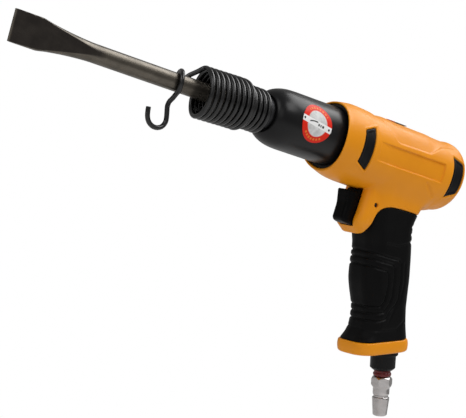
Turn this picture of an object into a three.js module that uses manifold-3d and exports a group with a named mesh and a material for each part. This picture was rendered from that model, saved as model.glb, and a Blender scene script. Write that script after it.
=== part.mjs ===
// Pneumatic air hammer: a pistol-grip percussion tool with a flat chisel held by a
// beehive retaining spring. Millimetres. +X runs along the barrel towards the rear,
// +Z is up, and the origin is the centre of the housing's flat rear face.
import * as THREE from 'three';
import { mergeVertices } from 'three/addons/utils/BufferGeometryUtils.js';
import Module from 'manifold-3d';

const wasm = await Module();
wasm.setup();

// ---------------------------------------------------------------- driving dimensions

const SIDES = 24;            // facets round a turned piece
const GAP = 0.3;             // clearance between pieces that touch

// Stations along the barrel axis.
const HOUSING_FRONT = -127.2;
const MOUTH_LOBE = 4;         // how far the housing's mouth reaches forward at its sides
const SLEEVE_FRONT = -191;
const SLEEVE_REAR = -117;
const NOSE_FRONT = -222;
const CHISEL_TIP = -406.5;
const FLATS_END = -336;

// Radii about the barrel axis.
const SLEEVE_R = 21.5;
const SLEEVE_CLEAR_R = 24.2; // the housing's bore round the sleeve
const CYLINDER_BODY_R = 17;
const CYLINDER_SEAT_R = 19.8;
const NOSE_R = 12.2;
const PISTON_BORE_R = 9.5;
const SHANK_R = 6.35;        // 12.7 mm round bar
const TAIL_R = 5.1;          // 10.2 mm shank inside the nose
const CHISEL_TRAVEL = 24;
const PISTON_STROKE = 66;

// Handle: it leans back by the rake, and its axis meets the barrel axis at HANDLE_X.
const RAKE = THREE.MathUtils.degToRad(14.8);
const HANDLE_X = -63.8;
const GRIP_BOTTOM = -136.2;  // along the handle axis, from the barrel axis down
const CAP_BOTTOM = -146;

// Retaining spring.
const WIRE_R = 1.7;
const COIL_PITCH = 4.4;
const COIL_FRONT = -251.8;
const LOOP_R = SHANK_R + WIRE_R + 0.35;
const BIG_COIL_R = 16.7;
const SMALL_COIL_R = 14.1;
const BIG_TURNS = 9;
const SMALL_TURNS = 4;
const COIL_DROOP = 1;         // how far the front turn hangs below the barrel axis

// Trigger and throttle, in the handle's own frame (x rearwards, z up along the handle).
const TRIGGER_HALF_WIDTH = 6.6;
const TRIGGER_TRAVEL = 5;
const THROTTLE_Z = -33.8;    // height of the throttle axis
const PIN_X = -23;           // the trigger's retaining pin

// Air inlet, in the handle's own frame.
const INLET_X = 8.3;
const SCREW_PLACES = [[-8, 9.2], [-8, -9.2]];

// ---------------------------------------------------------------- materials

const finish = (color, roughness, metalness = 0) =>
  new THREE.MeshStandardMaterial({ color, roughness, metalness });

const YELLOW = finish(0xe8960f, 0.4);
const BLACK_PLASTIC = finish(0x26272a, 0.45);
const BLACK_RUBBER = finish(0x161618, 0.75);
const SPRING_STEEL = finish(0x1b1b1d, 0.35, 0.8);
const FORGED_STEEL = finish(0x4b4640, 0.45, 0.9);
const TURNED_STEEL = finish(0x77787a, 0.35, 0.9);
const BLACK_STEEL = finish(0x2a2a2c, 0.4, 0.8);
const NICKEL = finish(0xa8a3a2, 0.3, 0.9);
const BRASS = finish(0xb08d4a, 0.35, 0.9);
const RED_RING = finish(0x7a1018, 0.35);
const SEAL_RUBBER = finish(0x101012, 0.7);
const LABEL = finish(0xd8301c, 0.4);
const SINTERED = finish(0x8a7550, 0.8, 0.4);

// ---------------------------------------------------------------- solids

/** Closed geometry -> manifold solid, whichever way its triangles were wound. */
function toSolid(geometry) {
  const bare = geometry.clone();
  bare.deleteAttribute('normal');
  bare.deleteAttribute('uv');
  const merged = mergeVertices(bare, 1e-4);
  const corner = merged.index.array;
  const faces = [];
  for (let i = 0; i < corner.length; i += 3) {
    const [a, b, c] = [corner[i], corner[i + 1], corner[i + 2]];
    if (a !== b && b !== c && c !== a) faces.push(a, b, c);
  }
  const vertProperties = new Float32Array(merged.attributes.position.array);
  const build = (triVerts) =>
    new wasm.Manifold(new wasm.Mesh({ numProp: 3, vertProperties, triVerts }));
  const solid = build(new Uint32Array(faces));
  if (solid.volume() > 0) return solid;
  for (let i = 0; i < faces.length; i += 3) {
    [faces[i + 1], faces[i + 2]] = [faces[i + 2], faces[i + 1]];
  }
  return build(new Uint32Array(faces));
}

function toGeometry(solid) {
  const mesh = solid.getMesh();
  const geometry = new THREE.BufferGeometry();
  geometry.setAttribute('position', new THREE.BufferAttribute(mesh.vertProperties, 3));
  geometry.setIndex(new THREE.BufferAttribute(mesh.triVerts, 1));
  geometry.computeVertexNormals();
  return geometry;
}

function piece(name, solid, material, parent) {
  const mesh = new THREE.Mesh(toGeometry(solid), material);
  mesh.name = name;
  parent.add(mesh);
  return mesh;
}

const cut = (solid, ...tools) => tools.reduce((rest, tool) => rest.subtract(tool), solid);
const join = (...solids) => solids.reduce((all, next) => all.add(next));

/** A profile of [x, radius] pairs turned about the X axis. */
function turned(profile, sides = SIDES) {
  const points = profile.map(([x, r]) => new THREE.Vector2(r, x));
  const geometry = new THREE.LatheGeometry(points, sides);
  return toSolid(geometry.rotateZ(-Math.PI / 2));
}

/** A ring of rectangular section about the X axis. */
function ring(x0, x1, inner, outer, sides = SIDES) {
  return turned([[x0, inner], [x0, outer], [x1, outer], [x1, inner], [x0, inner]], sides);
}

function rod(x0, x1, radius, sides = SIDES) {
  return turned([[x0, 0], [x0, radius], [x1, radius], [x1, 0]], sides);
}

/** A profile of [z, radius] pairs turned about an upright axis through (x, y). */
function upright(profile, x, y, sides = SIDES) {
  const points = profile.map(([z, r]) => new THREE.Vector2(r, z));
  const geometry = new THREE.LatheGeometry(points, sides).rotateX(Math.PI / 2);
  return toSolid(geometry.translate(x, y, 0));
}

const post = (z0, z1, radius, x, y, sides = SIDES) =>
  upright([[z0, 0], [z0, radius], [z1, radius], [z1, 0]], x, y, sides);

/** A cylinder along Y. */
function crossPin(x, z, radius, halfLength, sides = 12) {
  const geometry = new THREE.CylinderGeometry(radius, radius, 2 * halfLength, sides);
  return toSolid(geometry.translate(x, 0, z));
}

/** A solid through rings of points that all have the same count. */
function loft(rings) {
  const count = rings[0].length;
  const positions = rings.flat().flatMap((p) => [p.x, p.y, p.z]);
  const index = [];
  for (let i = 0; i + 1 < rings.length; i += 1) {
    for (let j = 0; j < count; j += 1) {
      const k = (j + 1) % count;
      const [a, b, c, d] = [i * count + j, i * count + k, (i + 1) * count + k, (i + 1) * count + j];
      index.push(a, b, c, a, c, d);
    }
  }
  for (const [first, flip] of [[0, true], [(rings.length - 1) * count, false]]) {
    for (let j = 1; j + 1 < count; j += 1) {
      const [a, b, c] = [first, first + j, first + j + 1];
      index.push(...(flip ? [a, c, b] : [a, b, c]));
    }
  }
  const geometry = new THREE.BufferGeometry();
  geometry.setAttribute('position', new THREE.Float32BufferAttribute(positions, 3));
  geometry.setIndex(index);
  return toSolid(geometry);
}

/** An outline in the XZ plane, [x, z] pairs, extruded from y0 to y1. */
function slab(outline, y0, y1) {
  const shape = new THREE.Shape(outline.map(([x, z]) => new THREE.Vector2(x, z)));
  const geometry = new THREE.ExtrudeGeometry(shape, { depth: y1 - y0, bevelEnabled: false });
  return toSolid(geometry.rotateX(Math.PI / 2).translate(0, y1, 0));
}

function block(x0, x1, y0, y1, z0, z1) {
  const geometry = new THREE.BoxGeometry(x1 - x0, y1 - y0, z1 - z0);
  return toSolid(geometry.translate((x0 + x1) / 2, (y0 + y1) / 2, (z0 + z1) / 2));
}

/** A round wire along a curve. */
function wire(curve, radius, steps, sides) {
  const section = new THREE.Shape(new THREE.EllipseCurve(0, 0, radius, radius).getPoints(sides));
  const options = { steps, extrudePath: curve, bevelEnabled: false, curveSegments: sides };
  return toSolid(new THREE.ExtrudeGeometry(section, options));
}

/** The same solid in the handle's frame, moved to the object's frame. */
function leanWithHandle(solid) {
  const geometry = toGeometry(solid);
  geometry.rotateY(-RAKE).translate(HANDLE_X, 0, 0);
  return toSolid(geometry);
}

const mirrored = (geometrySolid) => {
  const geometry = toGeometry(geometrySolid);
  geometry.scale(1, -1, 1);
  return toSolid(geometry);
};

// ---------------------------------------------------------------- housing outside

/** One section of the barrel casing: round on top, squarer and deeper below. */
function casingRing(x, top, side, bottom, squareness) {
  const points = [];
  const count = 32;
  for (let i = 0; i < count; i += 1) {
    const angle = (i / count) * 2 * Math.PI;
    const [c, s] = [Math.cos(angle), Math.sin(angle)];
    const power = s < 0 ? 2 / squareness : 1;
    const y = side * Math.sign(c) * Math.abs(c) ** power;
    const z = (s < 0 ? bottom : top) * Math.sign(s) * Math.abs(s) ** power;
    points.push(new THREE.Vector3(x, y, z));
  }
  return points;
}

function casing() {
  const stations = [
    // x, top, side, bottom, squareness
    [-133, 24.9, 24.8, 25.2, 2], [-126.8, 25.5, 25.3, 26.2, 2], [-121, 26.5, 26.1, 27.8, 2.05],
    [-115, 27.1, 26.4, 29.0, 2.1], [-107, 26.9, 26.2, 29.6, 2.15], [-98, 26.4, 25.8, 29.8, 2.2],
    [-80, 25.9, 25.5, 30.2, 2.2], [-60, 25.3, 25.4, 30.8, 2.2], [-40, 25.1, 25.3, 31.4, 2.2],
    [-22, 25.1, 25.3, 31.2, 2.1], [-10, 25, 25.1, 28, 2], [-5, 24.2, 24.4, 25.6, 2],
    [-2, 22.4, 22.6, 23, 2], [-0.6, 20.2, 20.4, 20.4, 2], [0, 18, 18, 18, 2],
  ];
  const rings = stations.map((station) => casingRing(...station));
  return cut(loft(rings), aheadOfMouth());
}

/** Everything in front of the housing's mouth, whose sides reach forward in a shallow curve. */
function aheadOfMouth() {
  const shape = new THREE.Shape();
  shape.moveTo(-160, -REACH);
  for (let y = -30; y <= 30; y += 3) {
    shape.lineTo(HOUSING_FRONT - MOUTH_LOBE * (y / SLEEVE_CLEAR_R) ** 2, y);
  }
  shape.lineTo(-160, REACH);
  const geometry = new THREE.ExtrudeGeometry(shape, { depth: 2 * REACH, bevelEnabled: false });
  return toSolid(geometry.translate(0, 0, -REACH));
}

/** A rounded rectangle across the handle: front and back measured from the axis. */
function handleRing(z, front, back, halfWidth, corner) {
  const points = [];
  const perCorner = 6;
  const centres = [
    [back - corner, halfWidth - corner, 0],
    [-front + corner, halfWidth - corner, 1],
    [-front + corner, -halfWidth + corner, 2],
    [back - corner, -halfWidth + corner, 3],
  ];
  for (const [x, y, quarter] of centres) {
    for (let i = 0; i <= perCorner; i += 1) {
      const angle = (quarter + i / perCorner) * (Math.PI / 2);
      points.push(new THREE.Vector3(x + corner * Math.cos(angle), y + corner * Math.sin(angle), z));
    }
  }
  return points;
}

// Handle stations: z, front, back, half width, corner radius.
const HANDLE_STATIONS = [
  [-16, 20, 46, 19, 12], [-28, 22, 39, 18, 12], [-38, 23, 29.5, 17, 12], [-45, 23.5, 25, 16.5, 12],
  [-51, 23.7, 22.4, 16.2, 12], [-57, 23.5, 21.8, 16, 12], [-65, 22.6, 21.8, 16, 12],
  [-77, 23.6, 21.8, 16.2, 12], [-89, 24.3, 21.7, 16.2, 12], [-99, 23, 21.2, 16, 12],
  [-107, 21.2, 20.8, 15.8, 12], [-113, 20.4, 20.6, 15.6, 12], [-119, 20.6, 20.6, 15.8, 12],
  [-125, 21.4, 20.8, 16, 12], [-131, 24, 21.2, 16.4, 12], [GRIP_BOTTOM, 28.8, 21.8, 17, 12.5],
];

function handleBody(inset) {
  return leanWithHandle(loft(HANDLE_STATIONS.map(([z, front, back, half, corner]) =>
    handleRing(z, front - inset, back - inset, half - inset, corner - inset))));
}

/** The edge where the painted housing gives way to the rubber grip, seen from the side. */
function gripEdge(offset) {
  const curve = new THREE.CatmullRomCurve3([
    [-110, -65.8], [-93, -65.6], [-88, -65.2], [-84, -63.8], [-80.6, -60.8], [-78.2, -56.6],
    [-76.4, -51], [-75, -45], [-71.4, -39.9], [-65.6, -37.2], [-58, -36.2], [-45, -35.8], [-30, -35.9],
    [20, -34],
  ].map(([x, z]) => new THREE.Vector3(x, 0, z)), false, 'centripetal');
  return curve.getPoints(30).map((p, i, all) => {
    const ahead = all[Math.min(i + 1, all.length - 1)].clone().sub(all[Math.max(i - 1, 0)]);
    const length = Math.hypot(ahead.x, ahead.z);
    return [p.x + (offset * ahead.z) / length, p.z - (offset * ahead.x) / length];
  });
}

const REACH = 60;            // past every face of the object
const belowEdge = (offset) =>
  slab([...gripEdge(offset), [20, -200], [-110, -200]], -REACH, REACH);

/** The part of the handle that holds the trigger, with a lip below it for the finger. */
function triggerBlock() {
  const rear = -52;
  const sections = [
    // z, front, half width
    [-20, -85.8, 14.4], [-32, -87.2, 14.8], [-46, -88.4, 15.2], [-53, -89.4, 14.4], [-56.6, -88.8, 13],
    [-58.4, -87.2, 12.2], [-60, -85, 11.7], [-61.6, -83, 11.3], [-63.2, -81.4, 10.9], [-70, -80.4, 10.4],
  ];
  return loft(sections.map(([z, front, half]) => {
    const middle = (rear + front) / 2;
    return handleRing(0, middle - front, rear - middle, half, 6)
      .map((p) => new THREE.Vector3(p.x + middle, p.y, z));
  }).reverse());
}

/** The narrow stem of the housing that the grip slides over. */
const CORE = { front: 17.5, back: 19.5, half: 11.5, corner: 7 };

function handleCore(grow) {
  const { front, back, half, corner } = CORE;
  const sections = [-30, GRIP_BOTTOM - (grow > 0 ? 5 : 0)].map((z) =>
    handleRing(z, front + grow, back + grow, half + grow, corner + grow));
  return leanWithHandle(loft(sections));
}

// ---------------------------------------------------------------- pockets in the housing

/** A wedge of the space round the barrel axis between two stations and two slanted ends. */
function sideBand(x0, x1, upper, lower, inner, outer) {
  const toPoint = (x, degrees, r) => {
    const a = THREE.MathUtils.degToRad(degrees);
    return new THREE.Vector3(x, -r * Math.cos(a), r * Math.sin(a));
  };
  const steps = 8;
  const rings = [];
  for (let i = 0; i <= steps; i += 1) {
    const t = i / steps;
    const front = THREE.MathUtils.lerp(upper[0], lower[0], t);
    const rear = THREE.MathUtils.lerp(upper[1], lower[1], t);
    rings.push([toPoint(x0, front, inner), toPoint(x1, rear, inner),
      toPoint(x1, rear, outer), toPoint(x0, front, outer)]);
  }
  return loft(rings);
}

const FRONT_BUMPER = { x0: -114.5, x1: -103.2, upper: [22, 33], lower: [-30, -41] };
const REAR_BUMPER = { x0: -17.5, x1: -5.5, upper: [33, 24], lower: [-42, -30] };

function bumperBand({ x0, x1, upper, lower }, inset, inner, outer) {
  const turn = inset * 2.4;
  return sideBand(x0 + inset, x1 - inset, upper.map((a) => a - turn), lower.map((a) => a + turn),
    inner, outer);
}

/** The long shallow recess on the side of the casing. */
function sidePanel() {
  return slab([[-96, 5.2], [-27, 5.4], [-27, -8.5], [-95, -8.5]], -REACH, -24);
}

// ---------------------------------------------------------------- the nodes

const hammer = new THREE.Group();
const handle = new THREE.Group();
handle.position.set(HANDLE_X, 0, 0);
handle.rotation.y = -RAKE;
hammer.add(handle);

// --- housing

const AIR_CHAMBER_FRONT = -38;
const AIR_CHAMBER_REAR = -14;

function barrelBore() {
  return join(
    rod(HOUSING_FRONT - 10, SLEEVE_REAR, SLEEVE_CLEAR_R),
    rod(SLEEVE_REAR - 1, AIR_CHAMBER_FRONT, CYLINDER_SEAT_R + GAP),
    rod(AIR_CHAMBER_FRONT - 1, AIR_CHAMBER_REAR, 13));
}

/** A cylinder along the throttle axis, in the handle's frame. */
function throttleRod(x0, x1, radius, sides = 16) {
  const geometry = new THREE.CylinderGeometry(radius, radius, x1 - x0, sides);
  geometry.rotateZ(Math.PI / 2).translate((x0 + x1) / 2, 0, THROTTLE_Z);
  return toSolid(geometry);
}

/** Everything drilled along or across the handle. */
function handleDrillings() {
  return [
    throttleRod(-40, 6, 6.2),
    throttleRod(5, 20.5, 4.3),
    crossPin(PIN_X, THROTTLE_Z, 1.8, REACH),
    post(-170, THROTTLE_Z, 3.6, INLET_X, 0, 16),
    post(-170, -120, 7.4, INLET_X, 0, 16),
    post(THROTTLE_Z, -16, 3, -2, 0, 12),
    post(-170, -56, 3.2, -9, 0, 12),
    ...SCREW_PLACES.map(([x, y]) => post(-170, -126, 1.5, x, y, 10)),
  ].map(leanWithHandle);
}

/** Where the trigger slides in. */
function triggerPocket() {
  const half = TRIGGER_HALF_WIDTH + 0.4;
  return slab([[-110, -57.4], [-76.6, -57.4], [-76.6, -28.4], [-89.4, -28.4], [-89.4, -30.6],
    [-110, -30.6]], -half, half);
}

const LOCK_SCREW_X = -100;

function housing() {
  const upperHandle = cut(handleBody(0).add(triggerBlock()), belowEdge(0));
  const outside = join(casing(), upperHandle, handleCore(0));
  const left = [FRONT_BUMPER, REAR_BUMPER].map((band) => bumperBand(band, 0, 22.9, 40));
  left.push(sidePanel());
  return cut(outside, barrelBore(), ...handleDrillings(), triggerPocket(),
    ...left, ...left.map(mirrored), block(-80, -57.5, -7, 7, 24.9, 40),
    post(18, 40, 2.6, LOCK_SCREW_X, 0, 12));
}

piece('housing', housing(), YELLOW, hammer);

for (const [place, band] of [['front', FRONT_BUMPER], ['rear', REAR_BUMPER]]) {
  const shell = join(casing()).subtract(rod(-200, 20, 23.1));
  const left = bumperBand(band, GAP, 23.1, 40).intersect(shell);
  piece(`left_${place}_bumper`, left, BLACK_RUBBER, hammer);
  piece(`right_${place}_bumper`, mirrored(left), BLACK_RUBBER, hammer);
}

piece('top_label', block(-79.5, -58, -6.5, 6.5, 25.1, 25.5), LABEL, hammer);
piece('barrel_lock_screw', post(20.4, 25.4, 2.3, LOCK_SCREW_X, 0, 12), BLACK_STEEL, hammer);

// --- barrel

piece('front_seal_ring', ring(-126, -118, SLEEVE_R + 0.1, 23.9), SEAL_RUBBER, hammer);

function barrelSleeve() {
  const inner = CYLINDER_BODY_R + GAP;
  return turned([
    [SLEEVE_FRONT, 12.8], [SLEEVE_FRONT, 14], [-189.6, 16.2], [-187, 18.2], [-183.6, 19.8],
    [-179.4, 20.8], [-175, 21.3], [-170, SLEEVE_R], [SLEEVE_REAR - GAP, SLEEVE_R],
    [SLEEVE_REAR - GAP, inner], [-185.5, inner], [-185.5, 12.8], [SLEEVE_FRONT, 12.8],
  ]);
}

piece('barrel_sleeve', barrelSleeve(), BLACK_PLASTIC, hammer);

/** A round sticker wrapped on the sleeve's left side, a little above its middle. */
function barrelLabel() {
  const [centreX, radius, lift] = [-158.5, 14.2, THREE.MathUtils.degToRad(-7)];
  const film = ring(centreX - radius - 1, centreX + radius + 1, SLEEVE_R + 0.05, SLEEVE_R + 0.35);
  const disc = new THREE.CylinderGeometry(radius, radius, 40, SIDES);
  disc.scale(1, 1, 0.92).translate(centreX, -20, 0).rotateX(lift);
  return film.intersect(toSolid(disc));
}

piece('barrel_label', barrelLabel(), LABEL, hammer);

const BORE_FRONT = -184;
const CYLINDER_REAR = -62;

function cylinder() {
  return turned([
    [NOSE_FRONT, TAIL_R + 0.15], [NOSE_FRONT, 11.4], [NOSE_FRONT + 1, NOSE_R - 0.2],
    [-185, NOSE_R], [-184.6, CYLINDER_BODY_R], [SLEEVE_REAR, CYLINDER_BODY_R],
    [SLEEVE_REAR + GAP, CYLINDER_SEAT_R], [CYLINDER_REAR, CYLINDER_SEAT_R],
    [CYLINDER_REAR, PISTON_BORE_R], [BORE_FRONT, PISTON_BORE_R], [BORE_FRONT - 4, TAIL_R + 0.15],
    [NOSE_FRONT, TAIL_R + 0.15],
  ]);
}

piece('cylinder', cylinder(), TURNED_STEEL, hammer);

const PISTON_REAR = CYLINDER_REAR - 1.4;
const PISTON_LENGTH = (CYLINDER_REAR - BORE_FRONT) - PISTON_STROKE - 3;

piece('piston', turned([
  [PISTON_REAR - PISTON_LENGTH, 0], [PISTON_REAR - PISTON_LENGTH, 5.5],
  [PISTON_REAR - PISTON_LENGTH + 5, 5.5], [PISTON_REAR - PISTON_LENGTH + 8, 9.3],
  [PISTON_REAR - 0.8, 9.3], [PISTON_REAR, 8.5], [PISTON_REAR, 0],
]), TURNED_STEEL, hammer);

// --- valve behind the cylinder

/** A rod along X, above the axis, for the dowel that lines up the valve block and its cover. */
function dowel(x0, x1, radius) {
  const geometry = new THREE.CylinderGeometry(radius, radius, x1 - x0, 10);
  return toSolid(geometry.rotateZ(Math.PI / 2).translate((x0 + x1) / 2, 0, 14));
}

const dowelHole = dowel(-70, -40, 1.8);

function valveBlock() {
  return cut(turned([
    [CYLINDER_REAR + GAP, 3.2], [CYLINDER_REAR + GAP, 19.4], [-52, 19.4], [-52, 8.8],
    [-55, 8.8], [-55, 3.2], [CYLINDER_REAR + GAP, 3.2],
  ]), dowelHole);
}

piece('valve_block', valveBlock(), TURNED_STEEL, hammer);
piece('valve_disc', ring(-54.6, -53.4, 2.6, 8.3), TURNED_STEEL, hammer);
piece('valve_cover', cut(turned([
  [-52 + GAP, 3.2], [-52 + GAP, 19.4], [-44, 19.4], [-44, 3.2], [-52 + GAP, 3.2],
]), dowelHole), BRASS, hammer);
piece('valve_dowel_pin', dowel(-61, -45, 1.5), TURNED_STEEL, hammer);
piece('rear_buffer', ring(-44 + GAP, AIR_CHAMBER_FRONT - GAP, 12, 19.2), SEAL_RUBBER, hammer);

// --- chisel

/** Chisel section: an ellipse as tall as the blade, with its sides cut flat. */
function chiselRing(x, halfHeight, flat) {
  const points = [];
  const count = 28;
  for (let i = 0; i < count; i += 1) {
    const angle = (i / count) * 2 * Math.PI;
    const y = THREE.MathUtils.clamp(SHANK_R * Math.cos(angle), -flat, flat);
    points.push(new THREE.Vector3(x, y, halfHeight * Math.sin(angle)));
  }
  return points;
}

const BLADE_HALF = 10.75;

function chisel() {
  // x, half height and half thickness: the forged flats start as a point and widen evenly.
  const outline = [
    [-404, BLADE_HALF, 1.2], [-396, BLADE_HALF, 1.7], [-384.5, BLADE_HALF - 0.05, 2.4], [-378, 9.5, 2.9],
    [-371, 8.55, 3.6], [-364, 7.75, 4.4], [-356, 7.05, 5.25], [-349, 6.6, 5.9],
    [-342, SHANK_R, 6.25], [FLATS_END, SHANK_R, SHANK_R], [-300, SHANK_R, SHANK_R],
  ];
  const blade = outline.map((row) => chiselRing(...row));
  const tip = chiselRing(CHISEL_TIP, BLADE_HALF, 0.3);
  const bar = turned([
    [-301, 0], [-301, SHANK_R - 0.1], [-231.5, SHANK_R - 0.1], [-229, 9.3], [-223.4, 9.3],
    [-222.3, TAIL_R], [-184.2, TAIL_R], [-183, TAIL_R - 0.9], [-183, 0],
  ], 28);
  return join(loft([tip, ...blade]), bar);
}

piece('chisel', chisel(), FORGED_STEEL, hammer);

// --- retaining spring

/** A point of the right-hand coil. The slack end hangs low, narrows and turns to one side. */
function onCoil(turn, radius) {
  const angle = Math.PI / 2 + turn * 2 * Math.PI;
  const slack = THREE.MathUtils.clamp(1 - turn / 7, 0, 1);
  const right = Math.max(Math.cos(angle), 0);
  const y = radius * (1 - slack * (0.1 + 0.08 * right)) * Math.cos(angle) - 0.6 * slack;
  const x = COIL_FRONT + turn * COIL_PITCH + slack * (0.8 + 2.2 * Math.cos(angle) + 1.3 * right);
  return new THREE.Vector3(x, y, radius * Math.sin(angle) - COIL_DROOP * slack);
}

/** A point of the turn round the chisel, at an angle over its bar from the right-hand side. */
function onLoop(x, degrees) {
  const angle = THREE.MathUtils.degToRad(degrees);
  return new THREE.Vector3(x, LOOP_R * Math.cos(angle), LOOP_R * Math.sin(angle));
}

/** Wire centre line, from the rear of the small coil to the tip of the finger hook. */
function retainerPath() {
  const points = [];
  const stepsPerTurn = 12;
  const turns = BIG_TURNS + SMALL_TURNS;
  for (let i = Math.round(turns * stepsPerTurn); i >= 0; i -= 1) {
    const turn = i / stepsPerTurn;
    const blend = THREE.MathUtils.smoothstep(turn, BIG_TURNS - 0.5, BIG_TURNS);
    const radius = THREE.MathUtils.lerp(BIG_COIL_R, SMALL_COIL_R, blend);
    points.push(onCoil(turn, radius));
  }
  // Across to the right of the chisel, a dip there, then over its bar and down the left side.
  points.push(new THREE.Vector3(-254.2, 2.2, 12.2), new THREE.Vector3(-258, 5.2, 8.2));
  points.push(...[
    [-261, 28], [-263.4, 17], [-265.4, 26], [-267.2, 52], [-269.2, 84], [-271.2, 115], [-272.8, 143],
    [-273.4, 172], [-273, 200], [-272, 225], [-271.4, 246],
  ].map(([x, degrees]) => onLoop(x, degrees)));
  // The finger hook, an S that ends in a J.
  points.push(...[
    [-272.4, -2.2, -11], [-273.9, -1.4, -14], [-274.2, -1, -17], [-273.5, -1, -20.5], [-272.7, -1, -24],
    [-272.4, -1, -27.3], [-273.5, -1, -30.1], [-275.3, -1, -31.9], [-277.9, -1, -33], [-281, -1, -33.2],
    [-284.2, -1, -32.2], [-286.6, -1, -30.3], [-288.1, -1, -27.6], [-288.8, -1, -24.8], [-289.2, -1, -21.7],
  ].map(([x, y, z]) => new THREE.Vector3(x, y, z)));
  return new THREE.CatmullRomCurve3(points, false, 'centripetal');
}

piece('retainer_spring', wire(retainerPath(), WIRE_R, 230, 6), SPRING_STEEL, hammer);

// --- trigger and throttle

/** Side outline of the trigger: a finger paddle in front and a taller skirt behind it. */
const TRIGGER_OUTLINE = [
  [-99.2, -32.7], [-89.6, -32.7], [-89.6, -30.2], [-82.4, -30.2], [-82.4, -57], [-94.8, -57],
  [-97.6, -55.8], [-98.8, -53.4], [-98.6, -49], [-98.4, -44], [-99.2, -38], [-99.8, -33.6],
];

function trigger() {
  const half = TRIGGER_HALF_WIDTH;
  const body = slab(TRIGGER_OUTLINE, -half, half);
  const plan = loft([-70, -20].map((z) =>
    handleRing(0, 8, 20, half, 3).map((p) => new THREE.Vector3(p.x - 92, p.y, z))));
  const neck = block(-33, PIN_X + 4.2, -4, 4, THROTTLE_Z - 2.8, THROTTLE_Z + 4);
  const slot = block(PIN_X - 1.8 - TRIGGER_TRAVEL, PIN_X + 1.9, -9, 9,
    THROTTLE_Z - 1.8, THROTTLE_Z + 1.8);
  return cut(join(body.intersect(plan), leanWithHandle(neck)), leanWithHandle(slot));
}

piece('trigger', trigger(), BLACK_PLASTIC, hammer);
piece('trigger_pin', crossPin(PIN_X, THROTTLE_Z, 1.6, 14), BLACK_STEEL, handle);

/** A ring about the throttle axis. */
function throttleRing(x0, x1, inner, outer) {
  return cut(throttleRod(x0, x1, outer), throttleRod(x0 - 1, x1 + 1, inner));
}

function throttleSpring() {
  const [start, end, radius, turns, steps] = [8.2, 19.6, 2.9, 5, 50];
  const points = [];
  for (let i = 0; i <= steps; i += 1) {
    const t = i / steps;
    const angle = t * turns * 2 * Math.PI;
    points.push(new THREE.Vector3(start + 0.6 + t * (end - start - 1.2), radius * Math.cos(angle),
      THROTTLE_Z + radius * Math.sin(angle)));
  }
  return wire(new THREE.CatmullRomCurve3(points), 0.5, 60, 5);
}

const BUSHING_REAR = 1;
const BALL_R = 3.4;
const BALL_X = BUSHING_REAR + 2.9;
const portHole = post(THROTTLE_Z, THROTTLE_Z + 10, 1.6, -2, 0, 10);

piece('throttle_bushing', cut(throttleRing(-10.8, BUSHING_REAR, 2.2, 5.9), portHole), BRASS, handle);
piece('throttle_seal', toSolid(new THREE.TorusGeometry(3.2, 0.9, 6, 14).rotateY(Math.PI / 2)
  .translate(-12.2, 0, THROTTLE_Z)), SEAL_RUBBER, handle);
piece('throttle_stem', throttleRod(PIN_X + 4.2 + GAP, BALL_X - BALL_R - 0.1, 1.7, 12), TURNED_STEEL,
  handle);
piece('throttle_ball', toSolid(new THREE.SphereGeometry(BALL_R, 14, 10).rotateZ(Math.PI / 2)
  .translate(BALL_X, 0, THROTTLE_Z)), TURNED_STEEL, handle);
piece('throttle_spring', throttleSpring(), TURNED_STEEL, handle);

// --- grip and base

function gripSleeve() {
  return cut(handleBody(0).intersect(belowEdge(GAP)), handleCore(GAP));
}

piece('grip_sleeve', gripSleeve(), BLACK_RUBBER, hammer);

/** The painted cap that closes the bottom of the handle, with exhaust slots at the front. */
const CAP_FLOOR = CAP_BOTTOM + 2.8;
const MUFFLER = { front: 25.5, back: -3.5, half: 6.4 };

function baseCap() {
  const body = loft([
    [CAP_BOTTOM, 28.6, 21.4, 16, 12.5], [CAP_BOTTOM + 0.7, 29.8, 22.6, 17.2, 13],
    [-143.6, 30.4, 23.2, 17.8, 13], [-140, 30.6, 23.3, 17.9, 13],
    [GRIP_BOTTOM - 0.8, 30.2, 23, 17.6, 13], [GRIP_BOTTOM - GAP, 29.4, 22.4, 17.2, 12.8],
  ].map((station) => handleRing(...station)));
  const { front, back, half } = MUFFLER;
  const slots = [-24, -20, -11, -7].map((x) => block(x, x + 2, -5, 5, -170, -140));
  return cut(body, post(-170, -130, 7.4, INLET_X, 0, 16),
    block(-front, back, -half, half, CAP_FLOOR, -130), ...slots,
    ...SCREW_PLACES.flatMap(([x, y]) => [post(-170, -130, 1.7, x, y, 10),
      post(-170, CAP_FLOOR - 0.6, 3.1, x, y, 12)]));
}

piece('base_cap', baseCap(), YELLOW, handle);

piece('muffler', block(-MUFFLER.front + GAP, MUFFLER.back - GAP, -MUFFLER.half + GAP,
  MUFFLER.half - GAP, CAP_FLOOR + GAP, GRIP_BOTTOM - GAP), SINTERED, handle);

SCREW_PLACES.forEach(([x, y], i) => {
  const head = CAP_FLOOR - 0.9;
  const profile = [[CAP_BOTTOM + 0.3, 0], [CAP_BOTTOM + 0.3, 2.7], [head, 2.7], [head, 1.4],
    [-127.6, 1.4], [-126.6, 0.7], [-126.6, 0]];
  const drive = block(x - 2, x + 2, y - 0.4, y + 0.4, CAP_BOTTOM, CAP_BOTTOM + 1);
  const crossDrive = block(x - 0.4, x + 0.4, y - 2, y + 2, CAP_BOTTOM, CAP_BOTTOM + 1);
  const screw = cut(upright(profile, x, y, 12), drive, crossDrive);
  piece(`base_screw_${i === 0 ? 'right' : 'left'}`, screw, BLACK_STEEL, handle);
});

// --- air inlet, down the handle from the base cap

const FLANGE_BOTTOM = -150.2;
const BUSHING_BOTTOM = -161.6;
const PLUG_TOP = -167;
const HEX_BOTTOM = -175.2;
const PLUG_BOTTOM = -196.9;
const AIR_BORE_R = 3.8;

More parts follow.
